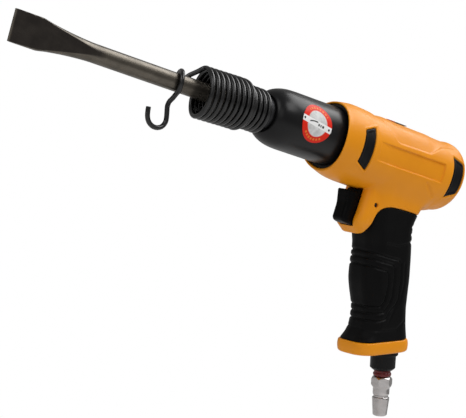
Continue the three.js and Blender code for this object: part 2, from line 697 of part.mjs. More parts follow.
/** A turned piece with a bore, on the inlet axis, from its outer profile of [z, radius]. */
function inletRing(outer, bore, sides = SIDES) {
  const [first, last] = [outer[0], outer[outer.length - 1]];
  const profile = [[first[0], bore], ...outer, [last[0], bore], [first[0], bore]];
  return upright(profile, INLET_X, 0, sides);
}

function inletBushing() {
  return inletRing([[BUSHING_BOTTOM, 7.6], [BUSHING_BOTTOM + 1.8, 9.6], [FLANGE_BOTTOM, 9.7],
    [FLANGE_BOTTOM, 10.7], [FLANGE_BOTTOM + 0.6, 11.2], [CAP_BOTTOM - GAP, 11.2],
    [CAP_BOTTOM - GAP, 7], [-123, 7], [-122, 6.4]], AIR_BORE_R);
}

piece('inlet_bushing', inletBushing(), BLACK_PLASTIC, handle);
piece('inlet_seal', toSolid(new THREE.TorusGeometry(5.2, 0.9, 6, 16)
  .translate(INLET_X, 0, -120.95)), SEAL_RUBBER, handle);
piece('thread_seal_ring', inletRing([[PLUG_TOP + GAP, 6.2], [PLUG_TOP + 1.2, 6.9],
  [PLUG_TOP + 2.4, 6.9], [PLUG_TOP + 3, 6.4], [BUSHING_BOTTOM - GAP, 6.2]], AIR_BORE_R), RED_RING,
handle);

/** A nickel-plated quick-connect plug: hexagon, collar, neck and a nose with a groove. */
function airPlug() {
  const hexagon = upright([[HEX_BOTTOM, 0], [HEX_BOTTOM, 8.2], [PLUG_TOP, 8.2], [PLUG_TOP, 0]],
    INLET_X, 0, 6);
  const chamfer = upright([[HEX_BOTTOM - 0.4, 0], [HEX_BOTTOM - 0.4, 6.2], [HEX_BOTTOM + 2.4, 8.3],
    [PLUG_TOP - 2, 8.3], [PLUG_TOP, 6.6], [PLUG_TOP, 0]], INLET_X, 0);
  const nose = upright([[PLUG_BOTTOM, 0], [PLUG_BOTTOM, 4.6], [PLUG_BOTTOM + 0.8, 5.4],
    [-193.5, 5.6], [-184.6, 6.45], [-182.8, 6.45], [-182.4, 5.5], [-181.2, 5.5], [-180.4, 6.3],
    [-174, 6.4], [-174, 0]], INLET_X, 0);
  return cut(join(hexagon.intersect(chamfer), nose), post(-200, -165, 3.4, INLET_X, 0, 16));
}

piece('air_plug', airPlug(), NICKEL, handle);

/** The cup-shaped strainer inside the inlet. */
function inletScreen() {
  const outer = upright([[-146, 0], [-146, 3.4], [-126, 3.4], [-126, 0]], INLET_X, 0, 16);
  return cut(outer, post(-145, -120, 2.9, INLET_X, 0, 16));
}

piece('inlet_screen', inletScreen(), SINTERED, handle);

export default hammer;
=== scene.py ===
"""Looks of a pneumatic air hammer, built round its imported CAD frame.

Shapes are worked out in millimetres, in the frame of the CAD: +X along the barrel towards
the rear, +Z up, origin at the centre of the rear face. Moulded pieces are signed distance
fields turned into quads, and turned, coiled and forged pieces are lofted ring by ring.
"""

import itertools
import math

import bpy
import numpy as np
from mathutils import Matrix, Vector


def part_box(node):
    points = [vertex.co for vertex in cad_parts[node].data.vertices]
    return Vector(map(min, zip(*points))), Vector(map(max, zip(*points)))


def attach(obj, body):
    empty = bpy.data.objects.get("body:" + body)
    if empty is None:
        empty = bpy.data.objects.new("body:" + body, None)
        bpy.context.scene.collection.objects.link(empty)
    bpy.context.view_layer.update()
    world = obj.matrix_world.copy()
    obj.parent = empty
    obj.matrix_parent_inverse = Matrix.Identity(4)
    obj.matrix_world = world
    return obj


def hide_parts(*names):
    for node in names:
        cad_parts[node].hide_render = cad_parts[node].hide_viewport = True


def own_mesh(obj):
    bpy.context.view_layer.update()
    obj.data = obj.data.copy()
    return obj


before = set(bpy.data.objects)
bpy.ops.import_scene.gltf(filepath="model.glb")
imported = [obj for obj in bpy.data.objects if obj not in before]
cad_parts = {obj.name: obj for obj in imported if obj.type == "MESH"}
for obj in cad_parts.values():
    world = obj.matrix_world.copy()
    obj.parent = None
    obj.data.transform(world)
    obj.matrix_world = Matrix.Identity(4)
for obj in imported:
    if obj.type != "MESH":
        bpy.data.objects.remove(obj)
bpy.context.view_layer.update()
MM = 0.001
FULL_TURN = 2 * math.pi
X, Y, Z = range(3)


def span(node, axis):
    """Where a CAD node starts and ends along an axis, in millimetres."""
    return [round(corner[axis] / MM, 2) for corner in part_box(node)]


def reach(node, axis):
    return span(node, axis)[1]


# ---------------- dimensions
# Read from the frame where a node's box gives them, and otherwise the same as in the CAD.

GAP = 0.3

# handle, in its own tilted frame: x rearwards, z up along the handle
RAKE = math.radians(14.8)
HANDLE_X = -63.8
GRIP_BOTTOM = -136.2
CAP_BOTTOM = -146.0
CAP_FLOOR = CAP_BOTTOM + 2.8
UNDER_HANDLE = -170.0
THROTTLE_Z = -33.8
PIN_X = -23.0
INLET_X = 8.3
INLET_SEAT_R = 7.4
INLET_SEAT_TOP = -120.0
SCREW_PLACES = [(-8, 9.2), (-8, -9.2)]

# housing
HOUSING_FRONT = -127.2
MOUTH_LOBE = 4.0
SLEEVE_CLEAR_R = reach("front_seal_ring", Z) + GAP
CYLINDER_CLEAR_R = reach("cylinder", Z) + GAP
CHAMBER_R = 13.0
CHAMBER_FRONT = reach("rear_buffer", X) + GAP
CHAMBER_REAR = -14.0
POCKET_FLOOR_R = 22.9
LOCK_SCREW_X = sum(span("barrel_lock_screw", X)) / 2

# barrel
SLEEVE_FRONT, SLEEVE_REAR = span("barrel_sleeve", X)
SLEEVE_SEAT = SLEEVE_REAR + GAP
SLEEVE_R = reach("barrel_sleeve", Z)
SLEEVE_INNER_R = 17.3
NOSE_HOLE_R = 12.8
PISTON_BORE_R = 9.5
STICKER_X = sum(span("barrel_label", X)) / 2
STICKER_R = reach("barrel_label", X) - STICKER_X
STICKER_LIFT = math.radians(7)

# plate on top
PLATE_FRONT, PLATE_REAR = span("top_label", X)
PLATE_HALF = reach("top_label", Y)
PLATE_FOOT, PLATE_FACE = span("top_label", Z)

# chisel
CHISEL_TIP, CHISEL_END = span("chisel", X)
FLATS_END = -336.0
BLADE_HALF = reach("chisel", Z)
COLLAR_R = reach("chisel", Y)
SHANK_R = 6.35
TAIL_R = 5.1

# retaining spring
WIRE_R = 1.7
COIL_PITCH = 4.4
COIL_FRONT = -251.8
COIL_DROOP = 1.0
BIG_COIL_R, SMALL_COIL_R = 16.7, 14.1
BIG_TURNS, SMALL_TURNS = 9, 4
LOOSE_TURNS = 7
LOOP_R = SHANK_R + WIRE_R + 0.35

# trigger
TRIGGER_HALF = reach("trigger", Y)
TRIGGER_FOOT, TRIGGER_TOP = span("trigger", Z)
SKIRT_FRONT, SKIRT_REAR = -89.6, -82.4

# ---------------- small numeric helpers


def smin(a, b, k):
    h = np.maximum(k - np.abs(a - b), 0) / k
    return np.minimum(a, b) - h * h * k * 0.25


def smax(a, b, k):
    return -smin(-a, -b, k)


def step01(x):
    """0 below 0, 1 above 1, smooth between."""
    t = np.clip(x, 0, 1)
    return t * t * (3 - 2 * t)


def to_handle(x, z):
    """Tool frame to the handle's own frame: x rearwards, z up along the handle."""
    c, s = math.cos(RAKE), math.sin(RAKE)
    return c * (x - HANDLE_X) + s * z, -s * (x - HANDLE_X) + c * z


def from_handle(points):
    c, s = math.cos(RAKE), math.sin(RAKE)
    p = np.asarray(points, float)
    return np.stack([HANDLE_X + c * p[:, 0] - s * p[:, 2], p[:, 1], s * p[:, 0] + c * p[:, 2]], 1)


class Stations:
    """Columns against a first column, joined by a smooth curve that never overshoots."""

    def __init__(self, rows):
        rows = np.array(rows, float)
        x, y = rows[:, 0], rows[:, 1:]
        h = np.diff(x)[:, None]
        d = np.diff(y, axis=0) / h
        slope = np.zeros_like(y)
        slope[0], slope[-1] = d[0], d[-1]
        w1, w2 = 2 * h[1:] + h[:-1], h[1:] + 2 * h[:-1]
        with np.errstate(divide="ignore", invalid="ignore"):
            mean = (w1 + w2) / (w1 / d[:-1] + w2 / d[1:])
        slope[1:-1] = np.where(d[:-1] * d[1:] > 0, mean, 0)
        self.grid = np.linspace(x[0], x[-1], 1500)
        i = np.clip(np.searchsorted(x, self.grid) - 1, 0, len(h) - 1)
        t = ((self.grid - x[i]) / h[i, 0])[:, None]
        self.table = (y[i] * (1 + 2 * t) * (1 - t) ** 2 + slope[i] * h[i] * t * (1 - t) ** 2
                      + y[i + 1] * t * t * (3 - 2 * t) + slope[i + 1] * h[i] * t * t * (t - 1))

    def __call__(self, x):
        return [np.interp(x, self.grid, column) for column in self.table.T]


def catmull(points, per_span=12):
    """Centripetal Catmull-Rom curve through the points."""
    p = np.asarray(points, float)
    p = np.vstack([2 * p[0] - p[1], p, 2 * p[-1] - p[-2]])
    out = []
    for a, b, c, d in zip(p, p[1:], p[2:], p[3:]):
        k = [max(np.linalg.norm(v - u), 1e-6) ** 0.5 for u, v in ((a, b), (b, c), (c, d))]
        m1 = (b - a) / k[0] - (c - a) / (k[0] + k[1]) + (c - b) / k[1]
        m2 = (c - b) / k[1] - (d - b) / (k[1] + k[2]) + (d - c) / k[2]
        t = np.linspace(0, 1, per_span, endpoint=False)[:, None]
        out.append(b * (1 + 2 * t) * (1 - t) ** 2 + m1 * k[1] * t * (1 - t) ** 2
                   + c * t * t * (3 - 2 * t) + m2 * k[1] * t * t * (t - 1))
    return np.vstack(out + [p[-2:-1]])


class Chart:
    """Signed distance to drawn lines on a plane, tabulated once and read back smoothly."""

    def __init__(self, lines, low, high, pitch, side_of=None):
        self.low, self.pitch = np.array(low, float), pitch
        self.u = np.arange(low[0], high[0] + pitch, pitch)
        self.v = np.arange(low[1], high[1] + pitch, pitch)
        u, v = np.meshgrid(self.u, self.v, indexing="ij")
        best = np.full(u.shape, 1e9)
        sign = np.ones(u.shape)
        for line in lines:
            for a, b in zip(line[:-1], line[1:]):
                e = b - a
                t = np.clip(((u - a[0]) * e[0] + (v - a[1]) * e[1]) / (e @ e + 1e-12), 0, 1)
                du, dv = u - a[0] - t * e[0], v - a[1] - t * e[1]
                d = np.hypot(du, dv)
                nearer = d < best
                best = np.where(nearer, d, best)
                if side_of:
                    sign = np.where(nearer, np.where(e[0] * dv - e[1] * du > 0, 1, -1), sign)
        self.table = best * sign

    def __call__(self, u, v):
        i = np.clip((u - self.low[0]) / self.pitch, 0, len(self.u) - 1.001)
        j = np.clip((v - self.low[1]) / self.pitch, 0, len(self.v) - 1.001)
        i0, j0 = i.astype(int), j.astype(int)
        s, t = i - i0, j - j0
        g = self.table
        return ((g[i0, j0] * (1 - s) + g[i0 + 1, j0] * s) * (1 - t)
                + (g[i0, j0 + 1] * (1 - s) + g[i0 + 1, j0 + 1] * s) * t)


# ---------------- distance fields


def box2(u, v, u0, u1, v0, v1, corner=0.0):
    qu = np.abs(u - (u0 + u1) / 2) - (u1 - u0) / 2 + corner
    qv = np.abs(v - (v0 + v1) / 2) - (v1 - v0) / 2 + corner
    return np.hypot(np.maximum(qu, 0), np.maximum(qv, 0)) + np.minimum(np.maximum(qu, qv), 0) - corner


def rod(a, b, axial, radius, low, high):
    """A round bar: a and b lie across it and axial runs along it."""
    return np.maximum(np.hypot(a, b) - radius, np.maximum(low - axial, axial - high))


CASING = Stations([
    # x, top, side, bottom, squareness below
    (-133, 25.0, 24.9, 25.3, 2), (-126.8, 25.6, 25.4, 26.3, 2),
    (-121, 26.5, 26.1, 27.8, 2.05), (-115, 27.1, 26.4, 29.0, 2.1), (-107, 26.9, 26.2, 29.6, 2.15),
    (-98, 26.4, 25.8, 29.8, 2.2), (-80, 25.9, 25.5, 30.2, 2.2), (-60, 25.3, 25.4, 30.8, 2.2),
    (-40, 25.1, 25.3, 31.4, 2.2), (-22, 25.1, 25.3, 31.2, 2.1), (-10, 25, 25.1, 28, 2),
])
REAR_ROUND = 10.0
REAR_R = 18.0

# the moulded line along the upper side: below it the side stands a little proud
RIDGE_X = (-140, -98, -92, -79.4, -76.5, -43.2, -29.4, -16, 10)
RIDGE_Z = (26, 24.6, 21.6, 9.9, 9.0, 9.5, 17.0, 19.6, 20)
RIDGE_STEP = 1.15
PANEL = {"u0": -97, "u1": -26.6, "v0": -8.6, "v1": 5.4, "corner": 0.8}
PANEL_DEPTH, PANEL_DEEPENS = 0.45, 0.95
CREASE_DEPTH = 0.8
CREASE_START, CREASE_END = np.array([-40, -12.6]), np.array([-29, -20.4])


def upper_step(x, z):
    """How far the side is sunk above the moulded line, fading out at both ends."""
    rise = (z - np.interp(x, RIDGE_X, RIDGE_Z)) * 0.8
    sunk = step01(rise / 0.9 + 0.5) * step01(1 - (rise - 1.5) / 9)
    return RIDGE_STEP * sunk * step01((x + 99) / 7) * step01((-10 - x) / 6)


def side_panel(x, y, z):
    """A long shallow recess in each side, running out towards the front."""
    depth = PANEL_DEPTH + PANEL_DEEPENS * step01((x + 100) / 22)
    return depth * step01(-box2(x, z, **PANEL) / 0.95 + 0.35) * step01((np.abs(y) - 12) / 5)


def low_crease(x, z):
    """A short crease low down behind the panel."""
    run = CREASE_END - CREASE_START
    x, z = x - CREASE_START[0], z - CREASE_START[1]
    along = np.clip((x * run[0] + z * run[1]) / (run @ run), 0, 1)
    return CREASE_DEPTH * np.exp(-(np.hypot(x - along * run[0], z - along * run[1]) / 0.9) ** 2)


def casing(x, y, z, plain=False):
    top, side, bottom, power = CASING(x)
    t = np.clip((x + REAR_ROUND) / REAR_ROUND, 0, 0.9999)
    e = np.sqrt(1 - t * t)
    top, side, bottom = (REAR_R + (r - REAR_R) * e for r in (top, side, bottom))
    below = z < 0
    height = np.where(below, bottom, top)
    p = np.where(below, power, 2.0)
    ratio = ((np.abs(y) / side) ** p + (np.abs(z) / height) ** p + 1e-9) ** (1 / p)
    length = np.hypot(y, z)
    d = length - length / np.maximum(ratio, 1e-3)
    d = smax(d * (1 - 0.45 * t), x, 0.8)
    d = smax(d, HOUSING_FRONT - MOUTH_LOBE * (y / SLEEVE_CLEAR_R) ** 2 - x, 0.8)
    if plain:
        return d
    return d + upper_step(x, z) + side_panel(x, y, z) + low_crease(x, z)


HANDLE = Stations([
    # z, front, back, half width, corner
    (GRIP_BOTTOM, 28.8, 21.8, 17, 12.5), (-131, 24, 21.2, 16.4, 12), (-125, 21.4, 20.8, 16, 12),
    (-119, 20.6, 20.6, 15.8, 12), (-113, 20.4, 20.6, 15.6, 12), (-107, 21.2, 20.8, 15.8, 12),
    (-99, 23, 21.2, 16, 12), (-89, 24.3, 21.7, 16.2, 12), (-77, 23.6, 21.8, 16.2, 12),
    (-65, 22.6, 21.8, 16, 12), (-57, 23.5, 21.8, 16, 12), (-51, 23.7, 22.4, 16.2, 12),
    (-45, 23.5, 25, 16.5, 12), (-38, 23, 29.5, 17, 12), (-28, 22, 39, 18, 12), (-16, 20, 46, 19, 12),
])


def handle_body(x, y, z):
    u, w = to_handle(x, z)
    front, back, half, corner = HANDLE(w)
    return box2(u, y, -front, back, -half, half, corner)


# the edge where the painted housing gives way to the rubber grip, seen from the side
GRIP_EDGE = catmull([
    (-125, -66), (-110, -65.8), (-93, -65.6), (-88, -65.2), (-84, -63.8), (-80.6, -60.8),
    (-78.2, -56.6), (-76.4, -51), (-75, -45), (-71.4, -39.9), (-65.6, -37.2), (-58, -36.2),
    (-45, -35.8), (-30, -35.9), (20, -34), (40, -33.2),
])
ABOVE_EDGE = Chart([GRIP_EDGE], (-120, -150), (30, -10), 0.5, side_of=True)

BLOCK = Stations([
    # z, front, half width
    (-70, -80.4, 10.4), (-63.2, -81.4, 10.9), (-61.6, -83, 11.3), (-60, -85, 11.7), (-58.4, -87.2, 12.2),
    (-56.6, -88.8, 13), (-53, -89.4, 14.4), (-46, -88.4, 15.2), (-32, -87.2, 14.8), (-20, -85.8, 14.4),
])
BLOCK_REAR = -52.0
BLOCK_TOP = -18.0
BLOCK_CORNER = 6.5


def trigger_block(x, y, z):
    front, half = BLOCK(z)
    return np.maximum(box2(x, y, front, BLOCK_REAR, -half, half, BLOCK_CORNER), z - BLOCK_TOP)


CORE = {"front": 17.5, "back": 19.5, "half": 11.5, "corner": 7}
CORE_TOP = -30.0


def handle_core(x, y, z, grow=0.0):
    """The stem inside the grip; grown, it is the way through the grip, open at the bottom."""
    u, w = to_handle(x, z)
    half = CORE["half"] + grow
    d = box2(u, y, -CORE["front"] - grow, CORE["back"] + grow, -half, half, CORE["corner"])
    bottom = GRIP_BOTTOM - (5 if grow else 0)
    return np.maximum(d, np.maximum(bottom - w, w - CORE_TOP))


def pocket_band(end, upper, lower):
    """A pocket's two stations along x, then its upper and its lower edge: each an angle at the
    front station and one at the rear, in degrees."""
    x0, x1 = span(f"left_{end}_bumper", X)
    return (x0 - GAP, x1 + GAP), upper, lower


BANDS = {
    "front": pocket_band("front", (22, 33), (-30, -41)),
    "rear": pocket_band("rear", (33, 24), (-42, -30)),
}
ARC_PER_DEGREE = 0.45


def side_band(x, y, z, band, inset=0.0):
    """A slanted pocket on either side of the casing, between two angles and two stations."""
    (x0, x1), upper, lower = band
    angle = np.degrees(np.arctan2(z, np.abs(y) + 1e-6))
    t = np.clip((x - x0) / (x1 - x0), -0.3, 1.3)
    over = (angle - (upper[0] + (upper[1] - upper[0]) * t)) * ARC_PER_DEGREE
    under = ((lower[0] + (lower[1] - lower[0]) * t) - angle) * ARC_PER_DEGREE
    ends = np.maximum(x0 - x, x - x1)
    return smax(smax(over, under, 0.8), ends, 0.8) + inset


TRIGGER_POCKET = {"u1": -76.6, "v0": TRIGGER_FOOT - 0.4}


def trigger_pocket(x, y, z):
    """The slot that the trigger slides in: taller behind than at its mouth."""
    mouth = box2(x, z, -112, v1=TRIGGER_TOP - 0.4, **TRIGGER_POCKET)
    behind = box2(x, z, SKIRT_FRONT + 0.2, v1=TRIGGER_TOP + 1.8, **TRIGGER_POCKET)
    return np.maximum(np.minimum(mouth, behind), np.abs(y) - TRIGGER_HALF - 0.4)


def barrel_bore(x, y, z):
    return np.minimum.reduce([
        rod(y, z, x, SLEEVE_CLEAR_R, HOUSING_FRONT - 20, SLEEVE_SEAT),
        rod(y, z, x, CYLINDER_CLEAR_R, SLEEVE_SEAT - 1, CHAMBER_FRONT),
        rod(y, z, x, CHAMBER_R, CHAMBER_FRONT - 1, CHAMBER_REAR),
    ])


def drillings(x, y, z):
    """Everything drilled along or across the handle."""
    u, w = to_handle(x, z)
    throttle_bushing = rod(y, w - THROTTLE_Z, u, 6.2, -40, 6)
    throttle_spring = rod(y, w - THROTTLE_Z, u, 4.3, 5, 20.5)
    pin = rod(u - PIN_X, w - THROTTLE_Z, y, 1.8, -60, 60)
    air_in = rod(u - INLET_X, y, w, 3.6, UNDER_HANDLE, THROTTLE_Z)
    inlet = rod(u - INLET_X, y, w, INLET_SEAT_R, UNDER_HANDLE, INLET_SEAT_TOP)
    air_to_barrel = rod(u + 2, y, w, 3, THROTTLE_Z, -16)
    exhaust = rod(u + 9, y, w, 3.2, UNDER_HANDLE, -56)
    screws = [rod(u - a, y - b, w, 1.5, UNDER_HANDLE, -126) for a, b in SCREW_PLACES]
    return np.minimum.reduce([throttle_bushing, throttle_spring, pin, air_in, inlet, air_to_barrel,
                              exhaust, *screws])


def housing(x, y, z):
    _, w = to_handle(x, z)
    handle = smin(handle_body(x, y, z), trigger_block(x, y, z), 5)
    handle = np.maximum(handle, w + 14)
    handle = smax(handle, -ABOVE_EDGE(x, z), 0.9)
    # the fillet under the barrel is small at the trigger and wide behind it
    d = smin(casing(x, y, z), handle, 1.6 + 4 * step01((x + 88) / 14))
    d = np.minimum(d, handle_core(x, y, z))
    d = smax(d, -barrel_bore(x, y, z), 0.6)
    d = np.maximum(d, -drillings(x, y, z))
    d = smax(d, -trigger_pocket(x, y, z), 1.0)
    for band in BANDS.values():
        pocket = side_band(x, y, z, band)
        lip = np.exp(-((pocket - 1) / 0.8) ** 2) * step01((np.abs(y) - 8) / 4)
        d = smax(d - 0.3 * lip, -np.maximum(pocket, POCKET_FLOOR_R - np.hypot(y, z)), 0.9)
    plate = box2(x, y, PLATE_FRONT - 0.5, PLATE_REAR + 0.5, -PLATE_HALF - 0.5, PLATE_HALF + 0.5, 1)
    d = smax(d, -np.maximum(plate, PLATE_FOOT - 0.2 - z), 0.4)
    return smax(d, -rod(x - LOCK_SCREW_X, y, z, 2.6, 18, 40), 0.5)


def bumper(band, side):
    def field(x, y, z):
        # the middle lies a little lower than the rim
        low = 0.45 * step01(-side_band(x, y, z, band, 1.9) / 1.1)
        d = smax(casing(x, y, z, plain=True) + 0.3 + low, side_band(x, y, z, band, 0.3), 0.8)
        return np.maximum(np.maximum(d, POCKET_FLOOR_R + 0.2 - np.hypot(y, z)), -side * y)
    return field


# grip lines, drawn on the handle's side: x rearwards, z up along the handle
GRIP_LINES = [
    [(-36, -64.5), (-29.5, -66.4), (-17, -70.3), (-4.4, -74), (3.4, -75.6), (5.7, -78), (6.2, -86),
     (5.8, -97), (5.2, -105), (2.7, -109.3), (-3.1, -114.4), (-6.7, -119.4), (-14, -120.8),
     (-36, -120)],
    [(-36, -69.5), (-26, -72.4), (-12, -76.4), (-2.4, -78.8), (-0.6, -81.3), (-0.4, -91),
     (-1.1, -101.5), (-3.6, -108), (-9.2, -114.2), (-16, -115.4), (-36, -114.6)],
    [(-36, -75), (-26, -78), (-17, -80.8), (-8.6, -82.9), (-6.6, -85.4), (-6.2, -92.2), (-7.6, -101),
     (-9.4, -106.2), (-12.4, -109.8), (-18.7, -110.4), (-36, -109.6)],
]
FAINT_LINES = [
    [(9.4, -78.8), (9.8, -94.7), (6.8, -106.5), (1.9, -112.4), (-3.5, -121)],
    [(12.7, -122), (4.3, -128), (-36, -127)],
    [(-9.6, -62.4), (3, -65), (30, -61)],
]
LINES_LOW, LINES_HIGH = (-36, -140), (32, -50)
GROOVES = Chart([np.array(line, float) for line in GRIP_LINES], LINES_LOW, LINES_HIGH, 0.25)
FAINT = Chart([np.array(line, float) for line in FAINT_LINES], LINES_LOW, LINES_HIGH, 0.25)
REAR_NOTCHES = (-53.5, -59.5, -65.5)


def grip(x, y, z):
    u, w = to_handle(x, z)
    d = handle_body(x, y, z)
    d = d + 1.0 * np.exp(-(GROOVES(u, w) / 0.85) ** 2) + 0.4 * np.exp(-(FAINT(u, w) / 0.9) ** 2)
    for at in REAR_NOTCHES:
        slope = w - at + 0.5 * (u - 21)
        d = d + 1.1 * np.exp(-slope ** 2) * step01((u - 14.5) / 4)
    d = smax(d, ABOVE_EDGE(x, z) + GAP, 1.4)
    d = smax(d, GRIP_BOTTOM - w, 0.8)
    return np.maximum(d, -handle_core(x, y, z, GAP))


CAP = Stations([
    # z, front, back, half width, corner
    (CAP_BOTTOM - 1, 28, 20.8, 15.4, 12), (CAP_BOTTOM, 29.2, 22, 16.6, 12.6),
    (CAP_BOTTOM + 1.4, 30.2, 23, 17.6, 13), (-140.6, 30.6, 23.3, 17.9, 13),
    (GRIP_BOTTOM - 0.9, 30.2, 22.9, 17.6, 13), (GRIP_BOTTOM, 29.4, 22.2, 17.2, 12.8),
])
EXHAUST_SLOTS = (-24, -20, -11, -7)


def base_cap(x, y, z):
    u, w = to_handle(x, z)
    front, back, half, corner = CAP(w)
    d = box2(u, y, -front, back, -half, half, corner)
    d = smax(d, np.maximum(CAP_BOTTOM - w, w - GRIP_BOTTOM + GAP), 1.0)
    muffler_pocket = np.maximum(box2(u, y, -25.5, -3.5, -6.4, 6.4, 1), CAP_FLOOR - w)
    d = np.maximum(d, -muffler_pocket)
    d = smax(d, -rod(u - INLET_X, y, w, INLET_SEAT_R, UNDER_HANDLE, INLET_SEAT_TOP), 0.4)
    for slot in EXHAUST_SLOTS:
        d = smax(d, -np.maximum(box2(u, y, slot, slot + 2, -5, 5, 0.9), w + 140), 0.4)
    for a, b in SCREW_PLACES:
        d = smax(d, -rod(u - a, y - b, w, 3.1, UNDER_HANDLE, CAP_FLOOR - 0.6), 0.4)
        d = np.maximum(d, -rod(u - a, y - b, w, 1.7, UNDER_HANDLE, -130))
    return d


TRIGGER_FACE = Stations([
    # z, front face
    (-58, -94.6), (-57, -95.4), (-55.8, -97.4), (-53.4, -98.7), (-49, -98.7), (-44, -98.5),
    (-38, -99.2), (-33.6, -99.9), (-28, -100.3),
])


def trigger(x, y, z):
    """A finger paddle, a taller skirt behind it, and a neck with a slot for the pin."""
    half = TRIGGER_HALF
    (face,) = TRIGGER_FACE(z)
    foot = TRIGGER_FOOT - z
    paddle = smax(box2(x, y, face, -70, -half, half, 3.0), z - TRIGGER_TOP + 2.5, 1.2)
    paddle = smax(paddle, foot, 2.2)
    skirt = box2(x, y, SKIRT_FRONT, -70, -half, half, 0.8)
    skirt = smax(skirt, smax(z - TRIGGER_TOP, foot, 1.0), 1.0)
    body = np.maximum(smin(paddle, skirt, 0.6), x - SKIRT_REAR)
    # a soft scoop for the finger
    body = body + 0.35 * np.exp(-((z + 45) / 7) ** 2) * step01((-x - 94) / 4)
    u, w = to_handle(x, z)
    w = w - THROTTLE_Z
    neck = np.maximum(box2(u, y, -33, PIN_X + 4.2, -4, 4), np.maximum(w - 4, -2.8 - w))
    slot = np.maximum(box2(u, w, PIN_X - 6.8, PIN_X + 1.9, -1.8, 1.8), np.abs(y) - 9)
    return np.maximum(np.minimum(body, neck), -slot)


# ---------------- from field to mesh


def evaluate(field, points):
    return field(points[:, 0], points[:, 1], points[:, 2])


def settle(field, points, passes):
    """Moves points down the gradient onto the surface."""
    h = 0.02
    for _ in range(passes):
        value = evaluate(field, points)
        gradient = np.stack([
            (evaluate(field, points + h * axis) - evaluate(field, points - h * axis)) / (2 * h)
            for axis in np.eye(3)
        ], 1)
        size = np.maximum((gradient ** 2).sum(1), 0.2)
        points = points - gradient * (np.clip(value, -0.6, 0.6) / size)[:, None]
    return points


def surface(field, low, high, pitch):
    """Quads on the zero level of a distance field (naive surface nets, then settled)."""
    axes = [np.arange(a, b + pitch, pitch) for a, b in zip(low, high)]
    values = field(*np.meshgrid(*axes, indexing="ij"))
    inside = values < 0
    cells = tuple(n - 1 for n in values.shape)
    count = np.zeros(cells, np.int8)
    for o in itertools.product((0, 1), repeat=3):
        count += inside[o[0]:o[0] + cells[0], o[1]:o[1] + cells[1], o[2]:o[2] + cells[2]]
    active = (count > 0) & (count < 8)
    index = np.full(cells, -1, np.int64)
    where = np.argwhere(active)
    index[active] = np.arange(len(where))
    total, number = np.zeros((len(where), 3)), np.zeros(len(where))
    units = np.eye(3, dtype=int)
    for axis in range(3):
        across = [units[(axis + 1) % 3], units[(axis + 2) % 3]]
        for s, t in itertools.product((0, 1), repeat=2):
            a = where + s * across[0] + t * across[1]
            b = a + units[axis]
            fa, fb = values[tuple(a.T)], values[tuple(b.T)]
            crosses = (fa < 0) != (fb < 0)
            t_at = np.where(crosses, fa / np.where(fa == fb, 1, fa - fb), 0)
            total += crosses[:, None] * (a + t_at[:, None] * units[axis])
            number += crosses
    points = np.array(low) + pitch * total / number[:, None]
    quads = []
    for axis in range(3):
        b, c = units[(axis + 1) % 3], units[(axis + 2) % 3]
        head = [slice(None)] * 3
        tail = [slice(None)] * 3
        head[axis], tail[axis] = slice(0, -1), slice(1, None)
        changed = np.argwhere(inside[tuple(head)] != inside[tuple(tail)])
        margin = (changed[:, (axis + 1) % 3] > 0) & (changed[:, (axis + 2) % 3] > 0)
        margin &= changed[:, (axis + 1) % 3] < cells[(axis + 1) % 3]
        margin &= changed[:, (axis + 2) % 3] < cells[(axis + 2) % 3]
        e = changed[margin]
        quad = np.stack([index[tuple((e - s * b - t * c).T)]
                         for s, t in ((0, 0), (1, 0), (1, 1), (0, 1))], 1)
        forward = inside[tuple(e.T)]
        quads.append(np.where(forward[:, None], quad, quad[:, ::-1]))
    quads = np.vstack(quads)
    points = settle(field, points, 3)
    for _ in range(2):
        points = settle(field, relaxed(points, quads), 2)
    return points, quads


def relaxed(points, quads):
    """Half way to the mean of each point's faces, which evens out the quads."""
    centre = points[quads].mean(1)
    total = np.zeros_like(points)
    number = np.bincount(quads.ravel(), minlength=len(points))
    for corner in range(4):
        for k in range(3):
            total[:, k] += np.bincount(quads[:, corner], centre[:, k], len(points))
    return points * 0.5 + 0.5 * total / np.maximum(number, 1)[:, None]


def loft(rings, closed=False):
    """Rings of equal length joined by quads, with flat caps unless the last joins the first."""
    rings = np.asarray(rings, float)
    rows, n = rings.shape[:2]
    faces = []
    for i in range(rows if closed else rows - 1):
        j = (i + 1) % rows
        faces += [(i * n + k, i * n + (k + 1) % n, j * n + (k + 1) % n, j * n + k) for k in range(n)]
    if not closed:
        faces.append(tuple(range(n - 1, -1, -1)))
        faces.append(tuple(range((rows - 1) * n, rows * n)))
    return rings.reshape(-1, 3), faces


def rounded(profile, radius=0.4, steps=3):
    """A closed polygon with each corner turned into a small arc."""
    p = np.asarray(profile, float)
    out = []
    for a, b, c in zip(np.roll(p, 1, 0), p, np.roll(p, -1, 0)):
        la, lc = np.linalg.norm(a - b), np.linalg.norm(c - b)
        r = min(radius, la * 0.45, lc * 0.45)
        start, end = b + (a - b) * r / la, b + (c - b) * r / lc
        for t in np.linspace(0, 1, steps + 1):
            out.append((1 - t) ** 2 * start + 2 * t * (1 - t) * b + t * t * end)
    return np.array(out)


def circle(x, r, angles):
    return np.stack([np.full_like(angles, x), r * np.cos(angles), r * np.sin(angles)], 1)


def turned(profile, sides=128, radius=0.4, steps=3):
    """A closed profile of (x, radius) swept round the barrel axis."""
    angles = np.linspace(0, FULL_TURN, sides, endpoint=False)
    return loft([circle(x, r, angles) for x, r in rounded(profile, radius, steps)], closed=True)


def upright(profile, radius=0.3):
    """A closed profile of (height, radius) swept round the inlet's axis, along the handle."""
    points, faces = turned(profile, 96, radius)
    return from_handle(np.stack([points[:, 1] + INLET_X, points[:, 2], points[:, 0]], 1)), faces


